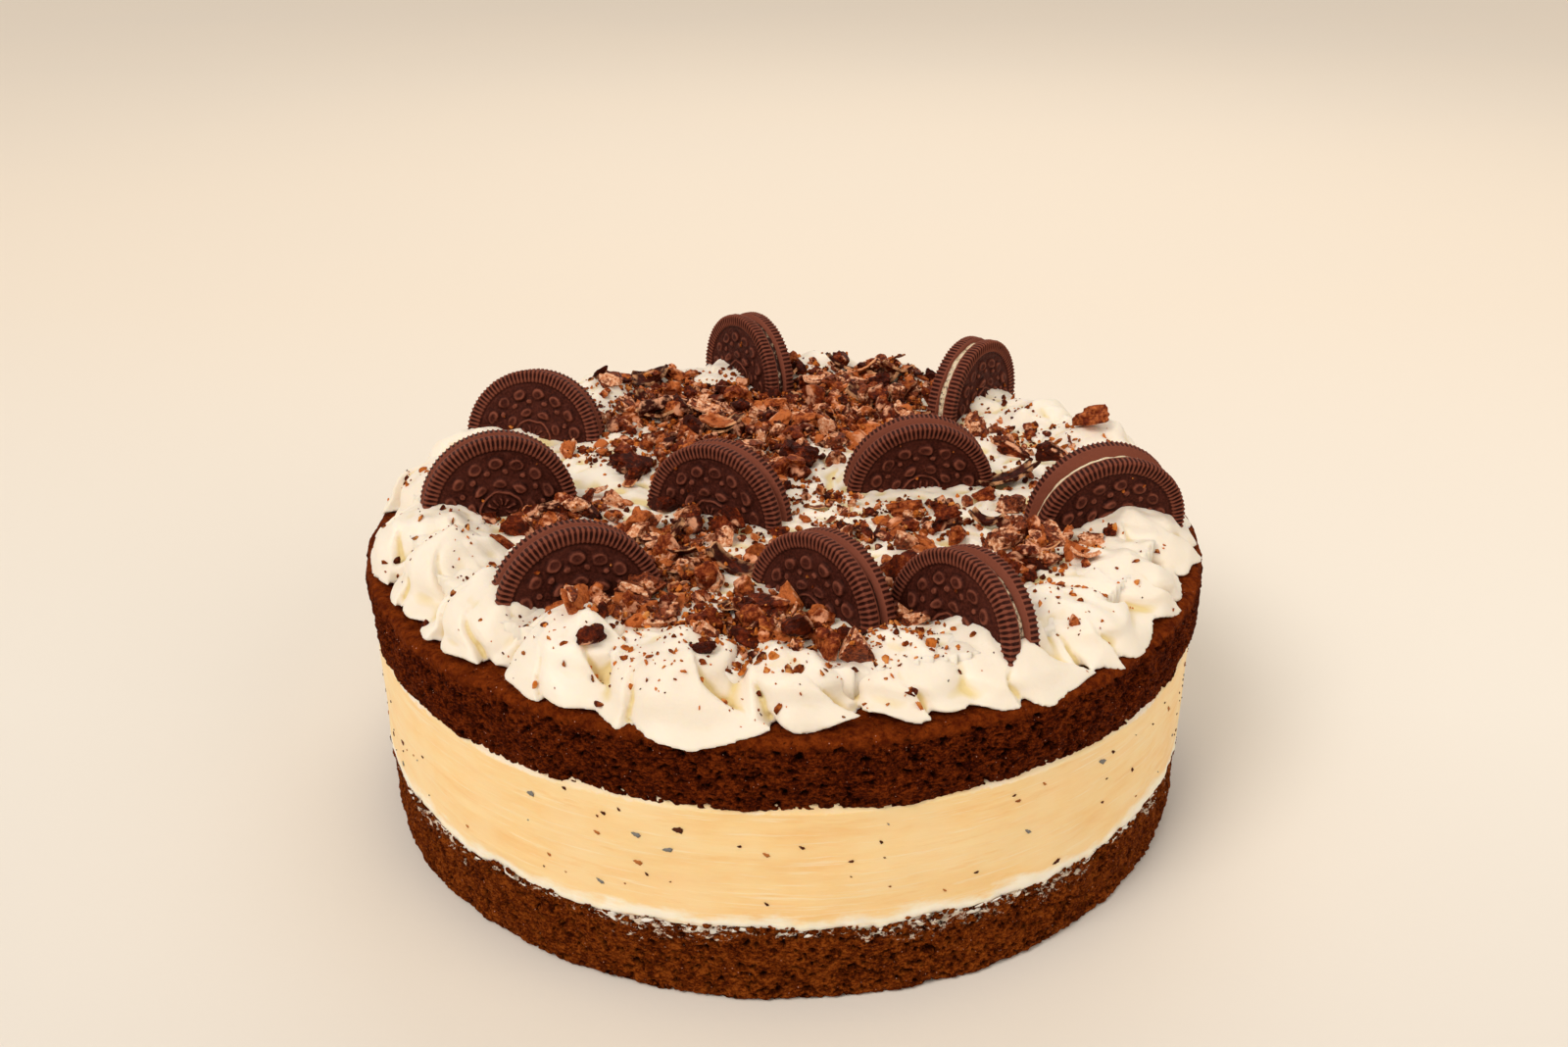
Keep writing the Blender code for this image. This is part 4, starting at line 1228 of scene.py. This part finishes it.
crumble = {
    # the pieces that stand out, as the solids have them: place, length and width in millimetres, and kind
    "chunks": (
        (16, -97, 8, 7, "nut"), (14, -88, 10, 6, "chunk"), (-5, -74, 15, 8, "chunk"),
        (-44, -93, 6, 5, "chunk"), (3, -84, 9, 7, "chunk"), (-7, -90, 9, 5, "chunk"),
        (-29, -44, 9, 8, "chunk"), (-34, -64, 10, 7, "nut"), (-30, -79, 7, 6, "nut"),
        (31, -53, 10, 9, "chunk"), (70, -34, 11, 8, "nut"), (66, -48, 8, 6, "nut"),
        (57, -39, 9, 7, "nut"), (62, -13, 8, 6, "nut"), (33, -15, 9, 6, "chunk"),
        (69, 26, 8, 6, "chunk"), (80, 24, 11, 7, "chunk"), (93, 33, 10, 7, "chunk"),
        (6, 20, 9, 8, "chunk"), (-44, 14, 10, 8, "chunk"), (-62, -24, 9, 5, "nut"),
        (-70, -28, 11, 6, "chunk"), (-47, -10, 7, 5, "nut"), (-56, 90, 12, 6, "chunk"),
        (-50, 62, 8, 7, "nut"),
    ),
    "shards": (
        (-13, -51, 14, 6), (-32, -35, 13, 7), (54, -26, 9, 4), (64, 6, 18, 6), (16, 77, 16, 8),
        (27, 68, 14, 7), (8, 65, 13, 7), (20, 90, 13, 6), (37, 82, 12, 7), (48, 58, 13, 6),
        (-44, 80, 12, 8), (-40, 50, 12, 6), (-2, 84, 12, 6), (30, 78, 15, 7),
    ),
    # smaller ones that the solids don't hold, in the same units
    "extras": (
        (-18, -99, 7, 4, "chunk"), (1, -76, 5, 3, "pale"), (-18, -91, 7, 5, "nut"),
        (-44, -70, 7, 8, "chunk"), (-53, -77, 6, 4, "chunk"), (30, -67, 6, 5, "nut"),
        (80, -36, 7, 5, "nut"), (86, -33, 4, 4, "chunk"), (76, -49, 7, 4, "pale"),
        (61, -54, 5, 5, "chunk"), (43, -29, 7, 4, "chunk"), (37, -38, 8, 4, "chunk"),
        (34, -26, 6, 5, "chunk"), (42, -16, 7, 5, "chunk"), (56, -4, 7, 6, "chunk"),
        (-25, 50, 10, 4, "pale"), (-12, 40, 9, 4, "pale"), (0, 56, 9, 4, "pale"),
        (-52, -6, 6, 5, "pale"), (-63, -6, 9, 5, "chunk"), (-28, -24, 6, 4, "nut"),
        (-76, -16, 8, 4, "chunk"), (-74, -35, 9, 5, "chunk"), (76, -52, 3, 3, "chunk"),
        (68, -80, 3, 3, "chunk"), (10, 76, 8, 4, "pale"), (-22, 72, 8, 5, "nut"),
        (-34, 34, 8, 5, "nut"), (6, 44, 8, 6, "chunk"), (-8, 70, 8, 5, "chunk"), (-20, 22, 7, 5, "nut"),
        (40, 70, 8, 5, "nut"), (-33, -13, 9, 6, "chunk"), (-26, -18, 8, 6, "nut"),
        (-38, -77, 8, 6, "nut"), (-43, -80, 6, 5, "nut"), (-36, -70, 8, 6, "nut"),
        (48, -84, 5, 4, "chunk"), (24, -79, 6, 5, "nut"), (2, 28, 8, 5, "pale"),
        (22, 60, 9, 6, "chunk"), (32, 76, 9, 6, "chunk"), (12, 52, 9, 6, "chunk"),
        (-16, 58, 9, 6, "chunk"), (28, -74, 7, 6, "nut"), (24, -69, 8, 6, "chunk"),
        (31, -78, 6, 5, "nut"), (-2, -60, 8, 6, "chunk"),
    ),
    "chunkRise": 0.62,
    "shardRise": 0.0026,
    "chunkFlatness": 0.78,
    "smallSize": (0.0026, 0.0038),
    "clearance": 0.0008,
    "spacing": 0.95,
    "reach": 0.097,
    "pileCell": 0.0006,
    "pileReach": 0.13,
    "driftTightness": 0.62,
    # how many are strewn, their least and greatest radius, how much the small ones prevail, the least
    # share of a drift that holds them, and how far above the cream they may lie
    "strewn": (
        ("grits", 1500, 0.0005, 0.0011, 1.6, 0.0, 0.0012),
        ("slabs", 300, 0.0020, 0.0042, 1.4, 0.35, 0.0034),
        ("lumps", 820, 0.0011, 0.0021, 1.4, 0.12, 0.0024),
        ("grits", 1500, 0.0005, 0.0010, 1.6, 0.0, 0.0020),
        ("dusts", 3000, 0.00025, 0.0005, 1.6, 0.0, 0.0040),
    ),
    "looseHeight": 0.0012,    # what may lie higher than this is heaped; crumbs that may not get darker tints as painted shade between the pieces
    "nutShare": 0.30,
    "flakeShare": 0.05,
    # bits on the border: how many, how many to a cluster, the share in front, where that is, how far out
    "specks": {"count": 1100, "cluster": 5, "frontShare": 0.50, "front": (-98.0, 24.0), "outmost": 0.114,
               "depth": 0.032, "spread": (0.0045, 0.0035), "size": (0.00028, 0.0011)},
    # bits that cling to each cookie's face: how many, and their size
    "clinging": {"count": 5, "size": (0.00025, 0.0005), "sunk": 0.0003},
    # dark, middle and light, broken face, gloss
    "chocolateChunk": ((0.036, 0.0042, 0.0008), (0.158, 0.0195, 0.0028), (0.56, 0.148, 0.036),
                       (0.95, 0.46, 0.26), 0.32),
    "chocolateShard": ((0.038, 0.0046, 0.0009), (0.130, 0.0160, 0.0026), (0.48, 0.118, 0.027),
                       (0.90, 0.46, 0.22), 0.30),
    "cocoaCrumb": ((0.062, 0.0076, 0.0012), (0.220, 0.037, 0.0044), (0.66, 0.185, 0.028),
                   (0.75, 0.32, 0.09), 0.55),
    # where it lies: x, y, spread in x and y, share, in millimetres
    "drifts": (
        (20, 66, 30, 17, 1.00), (28, 84, 18, 10, 0.45), (-30, 62, 22, 17, 0.90), (-8, 42, 26, 13, 0.75),
        (-44, 78, 12, 10, 0.24), (-36, 24, 12, 12, 0.40), (-56, 28, 10, 9, 0.18),
        (-5, 12, 12, 14, 0.40), (48, 52, 8, 12, 0.18), (70, 38, 10, 14, 0.20), (84, 18, 7, 8, 0.12),
        (60, 8, 9, 7, 0.26), (34, -15, 14, 6, 0.30), (12, -6, 12, 9, 0.18), (24, -28, 24, 9, 0.26),
        (-62, -20, 14, 8, 0.50), (-30, -28, 16, 8, 0.36), (-28, -54, 11, 15, 0.80),
        (-40, -74, 10, 9, 0.45), (-8, -78, 12, 11, 0.60), (8, -92, 12, 6, 0.42), (31, -58, 6, 10, 0.40),
        (66, -40, 11, 11, 0.40), (72, -12, 9, 6, 0.14), (56, -60, 8, 8, 0.10), (-4, -36, 8, 10, 0.14),
        (30, -90, 7, 4, 0.10),
    ),
}


def nearCookie(point, size, clearance):
    for x, y, z, facing, lean, splay in cookie["places"]:
        facing, lean = math.radians(facing), math.radians(lean)
        level = math.cos(lean)
        normal = Vector((math.sin(facing) * level, -math.cos(facing) * level, math.sin(lean)))
        offset = point - Vector((x, y, z))
        along = abs(offset.dot(normal))
        across = (offset - normal * offset.dot(normal)).length
        thick = cookie["fillingThickness"] / 2 + cookie["waferThickness"] + cookie["splayRoom"] * (splay > 2)
        if along < thick + size + clearance and across < cookie["radius"] + size + clearance:
            return True
    return False


def smallPlaces(dice, taken):
    # The heaps' smaller lumps lie where the solids have theirs
    places = []
    smallest, largest = crumble["smallSize"]
    for heapX, heapY, spread, count in cream["heaps"]:
        found = 0
        for _ in range(count * 30):
            if found == count:
                break
            x = dice.gauss(heapX, spread * 0.6)
            y = dice.gauss(heapY, spread * 0.6)
            size = largest - (largest - smallest) * found / count
            point = Vector((x, y, lieHeight(x, y) + size * crumble["chunkRise"]))
            if math.hypot(x, y) > crumble["reach"] or nearCookie(point, size, crumble["clearance"]):
                continue
            room = crumble["spacing"]
            if any((point - other).length < (size + wide) * room for other, wide in taken + places):
                continue
            places.append((point, size))
            found += 1
    return places


class Ground:
    # How high the cream and what already lies on it reach at any place
    def __init__(self, pieces):
        graph = bpy.context.evaluated_depsgraph_get()
        self.trees = [BVHTree.FromObject(piece, graph) for piece in pieces]
        self.cell = crumble["pileCell"]
        self.middle = int(crumble["pileReach"] / self.cell)
        self.pile = np.zeros((2 * self.middle + 1, 2 * self.middle + 1))

    def creamAt(self, x, y):
        best = 0.0
        for tree in self.trees:
            hit = tree.ray_cast(Vector((x, y, 0.2)), Vector((0.0, 0.0, -1.0)))[0]
            if hit is not None:
                best = max(best, hit.z)
        return best

    def height(self, x, y):
        return max(self.creamAt(x, y), self.pile[self.spot(x), self.spot(y)])

    def spot(self, value):
        return int(round(value / self.cell)) + self.middle

    def cover(self, x, y, z, size, thick):
        reach = int(size / self.cell) + 1
        column, row = self.spot(x), self.spot(y)
        for across in range(-reach, reach + 1):
            for along in range(-reach, reach + 1):
                away = math.hypot(across, along) * self.cell
                if away < size:
                    top = z + thick * math.sqrt(1.0 - (away / size) ** 2)
                    spot = column + across, row + along
                    self.pile[spot] = max(self.pile[spot], top)


def metres(*values):
    return [value / 1000.0 for value in values]


def slightTurn(dice, most):
    return Euler([dice.uniform(-most, most) for _ in range(3)]).to_matrix()


def drawSpot(dice, drifts, weights):
    x, y, spreadX, spreadY, _ = dice.choices(drifts, weights)[0]
    x = dice.gauss(x, spreadX * crumble["driftTightness"])
    y = dice.gauss(y, spreadY * crumble["driftTightness"])
    return metres(x, y)


def shardShape(dice):
    # A curl broken from a thin sheet: an uneven grid, bent and given a thickness
    bpy.ops.mesh.primitive_grid_add(x_subdivisions=7, y_subdivisions=4, size=2.0)
    shard = startPiece("shardMaster")
    bend = dice.uniform(0.15, 0.55)
    taper = dice.uniform(0.1, 0.7)
    offset = Vector([dice.uniform(-20.0, 20.0) for _ in range(3)])

    def curl(place):
        place.y *= 1.0 - taper * abs(place.x) ** 1.5 * (0.5 + 0.5 * noise.noise(place + offset))
        place.x += 0.22 * noise.noise(place * 1.7 + offset)
        place.y += 0.18 * noise.noise(place * 2.3 - offset)
        dent = 0.06 * noise.noise(place * 2.0)
        place.z = bend * (place.x * place.x - 0.4) + 0.3 * bend * place.y * place.y + dent
        return place

    moveVertices(shard, curl)
    applyModifier(shard, "SOLIDIFY", thickness=0.16, offset=0.0)
    applyModifier(shard, "TRIANGULATE")
    places = verticesOf(shard)
    corners = np.array([list(face.vertices) for face in shard.data.polygons])
    bpy.data.objects.remove(shard)
    broken = (np.max(np.abs(places[:, :2]), axis=1) > 0.80).astype(float)
    return places, corners, broken


def chocolateFinish(name):
    # Darker and lighter pieces, each mottled, with its broken faces paler; the darker tints of low-lying
    # crumbs are painted shade
    dark, mid, light, opened, gloss = crumble[name]
    look = Finish(name, {"Roughness": 0.5, "Specular IOR Level": 0.08})
    grain = look.plus(look.noise(0.0009, 4.0, 0.65), look.noise(0.0026, 3.0, 0.5))
    tone = look.plus(look.times(look.attribute("tint"), 0.26), look.times(grain, 0.37))
    colour = look.ramp(tone, ((0.38, dark), (0.48, mid), (0.61, light)))
    fresh = look.times(look.attribute("broken"), look.between(look.noise(0.0026, 3.0, 0.5), 0.45, 0.60))
    colour = look.mix(look.times(fresh, 0.8), colour, opened)
    normal = look.bump(look.noise(0.0006, 5.0, 0.7), 0.0004, 0.9)
    return look.finished(colour, look.wandering(0.002, gloss, gloss + 0.25), normal)


def nutFinish():
    look = Finish("coatedNut", {"Roughness": 0.5, "Specular IOR Level": 0.18})
    grain = look.noise(0.0009, 5.0, 0.65)
    coat = look.ramp(grain, ((0.40, (0.055, 0.0066, 0.0013)), (0.60, (0.31, 0.062, 0.014))))
    kernel = look.ramp(grain, ((0.34, (0.42, 0.11, 0.038)), (0.50, (0.76, 0.31, 0.14)),
                               (0.66, (0.98, 0.68, 0.46))))
    patch = look.plus(look.noise(0.0036, 3.0, 0.5), look.times(look.attribute("broken"), 0.20))
    patch = look.plus(patch, look.times(look.attribute("tint"), 0.10))
    colour = look.mix(look.between(patch, 0.56, 0.65), coat, kernel)
    normal = look.bump(look.noise(0.0009, 5.0, 0.7), 0.0005, 0.9)
    return look.finished(colour, look.wandering(0.002, 0.40, 0.65), normal)


def layLarge(dice, ground, shapes, bodies):
    # The pieces that the solids hold too
    taken = []
    for *millimetres, kind in crumble["chunks"]:
        x, y, length, width = metres(*millimetres)
        point = Vector((x, y, lieHeight(x, y) + width / 2 * crumble["chunkRise"]))
        taken.append((point.copy(), width / 2))
        point.z = max(point.z, ground.height(x, y) + width * 0.18)
        scale = (length / 2, width / 2, width / 2 * crumble["chunkFlatness"])
        turn = slightTurn(dice, 0.35)
        scale = [value * 1.14 for value in scale]
        bodies[kind].add(dice.choice(shapes["boulders"]), turn, scale, point, dice.random() * 0.6)
        ground.cover(x, y, point.z, width * 0.55, width * 0.5)
    for millimetres in crumble["shards"]:
        x, y, length, width = metres(*millimetres)
        point = Vector((x, y, lieHeight(x, y) + crumble["shardRise"]))
        taken.append((point.copy(), width / 2))
        turn = slightTurn(dice, 0.45)
        point.z = max(point.z, ground.height(x, y) + 0.0022)
        scale = (length / 2, width / 2, 0.006)
        bodies["flake"].add(dice.choice(shapes["shards"]), turn, scale, point, dice.random() * 0.6)
        ground.cover(x, y, point.z, width * 0.4, 0.0008)
    for point, size in smallPlaces(creamDice, taken):
        kind = "nut" if dice.random() < 0.40 else "chunk"
        scale = (size * 1.05, size * 1.05, size * crumble["chunkFlatness"])
        bodies[kind].add(dice.choice(shapes["slabs"]), anyTurn(dice), scale, point, dice.random())
        ground.cover(point.x, point.y, point.z, size * 0.9, size * 0.6)


def layExtras(dice, ground, shapes, bodies):
    for *millimetres, kind in crumble["extras"]:
        x, y, length, width = metres(*millimetres)
        z = ground.height(x, y) + width * 0.22
        if z < creamBottom or nearCookie(Vector((x, y, z)), width * 0.4, 0.0):
            continue
        turn = slightTurn(dice, 0.4)
        if kind == "pale":
            scale = (length / 2, width / 2, 0.004)
            bodies["nut"].add(dice.choice(shapes["shards"]), turn, scale, (x, y, z + 0.001), 1.0)
        else:
            scale = (length / 2, width / 2, width * 0.4)
            bodies[kind].add(dice.choice(shapes["boulders"]), turn, scale, (x, y, z), dice.random() * 0.7)
        ground.cover(x, y, z, width * 0.5, width * 0.45)


def strew(dice, ground, shapes, bodies):
    # What lies between and over the larger pieces
    for kind, wanted, low, high, bias, leastShare, highest in crumble["strewn"]:
        drifts = [drift for drift in crumble["drifts"] if drift[4] >= leastShare]
        weights = [drift[4] * drift[2] * drift[3] for drift in drifts]
        heaped = highest > crumble["looseHeight"]
        placed = 0
        for _ in range(wanted * 5):
            if placed == wanted:
                break
            x, y = drawSpot(dice, drifts, weights)
            size = low + (high - low) * dice.random() ** bias
            if math.hypot(x, y) > crumble["reach"] + 0.002:
                continue
            level, surface = ground.height(x, y), ground.creamAt(x, y)
            z = level + size * 0.30
            if z < creamBottom or level - surface > highest or nearCookie(Vector((x, y, z)), size * 0.8, 0.0):
                continue
            pick = dice.random()
            tilt = (dice.uniform(-0.7, 0.7), dice.uniform(-0.7, 0.7), dice.uniform(0.0, math.tau))
            tilt = Euler(tilt).to_matrix()
            large = kind in ("slabs", "lumps")
            if large and pick < crumble["flakeShare"]:
                scale = (size * 1.6, size * dice.uniform(0.8, 1.2), size)
                place = (x, y, z + size * 0.3)
                bodies["flake"].add(dice.choice(shapes["shards"]), tilt, scale, place, dice.random())
            elif large:
                body = bodies["nut" if pick < crumble["nutShare"] else "chunk"]
                scale = [size * dice.uniform(*ends) for ends in ((0.9, 1.45), (0.7, 1.1), (0.55, 0.9))]
                body.add(dice.choice(shapes[kind]), tilt, scale, (x, y, z), dice.random())
            else:
                scale = [size * dice.uniform(0.7, 1.4) for _ in range(3)]
                # Painted shade: crumbs that lie low between the pieces get darker tints
                shade = dice.random() * (1.0 if heaped else 0.45)
                bodies["crumb"].add(dice.choice(shapes[kind]), anyTurn(dice), scale, (x, y, z), shade)
            if size > 0.0006:
                ground.cover(x, y, z, size * 0.85, size * 0.45)
            placed += 1


def speckBorder(dice, ground, shapes, body):
    specks = crumble["specks"]
    smallest, growth = specks["size"]
    angle = reach = 0.0
    for number in range(specks["count"]):
        if number % specks["cluster"] == 0:
            inFront = dice.random() < specks["frontShare"]
            angle = math.radians(dice.gauss(*specks["front"])) if inFront else dice.uniform(-math.pi, math.pi)
            reach = specks["outmost"] - specks["depth"] * dice.random() ** 0.8
        x = reach * math.cos(angle) + dice.gauss(0.0, specks["spread"][0])
        y = reach * math.sin(angle) + dice.gauss(0.0, specks["spread"][1])
        size = smallest + growth * dice.random() ** 3.4
        z = ground.height(x, y)
        if z < creamBottom + 0.001 or nearCookie(Vector((x, y, z)), size, 0.0):
            continue
        scale = (size * dice.uniform(0.8, 1.6), size * dice.uniform(0.6, 1.2), size * 0.5)
        body.add(dice.choice(shapes["lumps"]), anyTurn(dice), scale, (x, y, z), dice.random())


def clingToWafers(dice, shapes, body):
    smallest, growth = crumble["clinging"]["size"]
    out = cookie["fillingThickness"] / 2 + cookie["waferThickness"] - crumble["clinging"]["sunk"]
    for x, y, z, facing, lean, _ in cookie["places"]:
        face = cookieFrame(x, y, z, facing, lean)
        for _ in range(crumble["clinging"]["count"]):
            turn, reach = dice.uniform(0.0, math.pi), cookie["radius"] * dice.uniform(0.25, 0.93)
            size = smallest + growth * dice.random() ** 2
            bit = face @ Vector((reach * math.cos(turn), reach * math.sin(turn), out))
            body.add(dice.choice(shapes["grits"]), anyTurn(dice), (size, size, size), bit, dice.random())


def makeCrumble():
    ground = Ground([border, bed])
    dice = random.Random(77)
    shapes = {
        "boulders": [brokenShape(4, dice, 4, 0.50, 0.09) for _ in range(8)],
        "slabs": [brokenShape(3, dice, 4, 0.55, 0.05) for _ in range(16)],
        "lumps": [brokenShape(2, dice, 4, 0.60) for _ in range(16)],
        "grits": [brokenShape(1, dice, 2, 0.6) for _ in range(12)],
        "dusts": [brokenShape(1, dice, 1, 0.6) for _ in range(6)],
        "shards": [shardShape(dice) for _ in range(9)],
    }
    bodies = {kind: Scatter() for kind in ("chunk", "nut", "flake", "crumb", "speck")}
    layLarge(dice, ground, shapes, bodies)
    layExtras(dice, ground, shapes, bodies)
    strew(dice, ground, shapes, bodies)
    speckBorder(dice, ground, shapes, bodies["speck"])
    clingToWafers(dice, shapes, bodies["speck"])
    chocolate, shardLook, crumbLook = map(chocolateFinish, ("chocolateChunk", "chocolateShard", "cocoaCrumb"))
    finishes = {"chunk": ("chocolateChunks", chocolate), "nut": ("nutPieces", nutFinish()),
                "flake": ("chocolateShards", shardLook), "crumb": ("cookieCrumbs", crumbLook),
                "speck": ("borderCrumbs", crumbLook)}
    for kind, (name, finish) in finishes.items():
        piece = bodies[kind].made(name)
        dress(piece, finish, "whipped_cream", "whipped_cream")
        print(name, len(piece.data.polygons), "faces")
        for face in piece.data.polygons:
            face.use_smooth = False


makeCrumble()
print("crumble strewn")
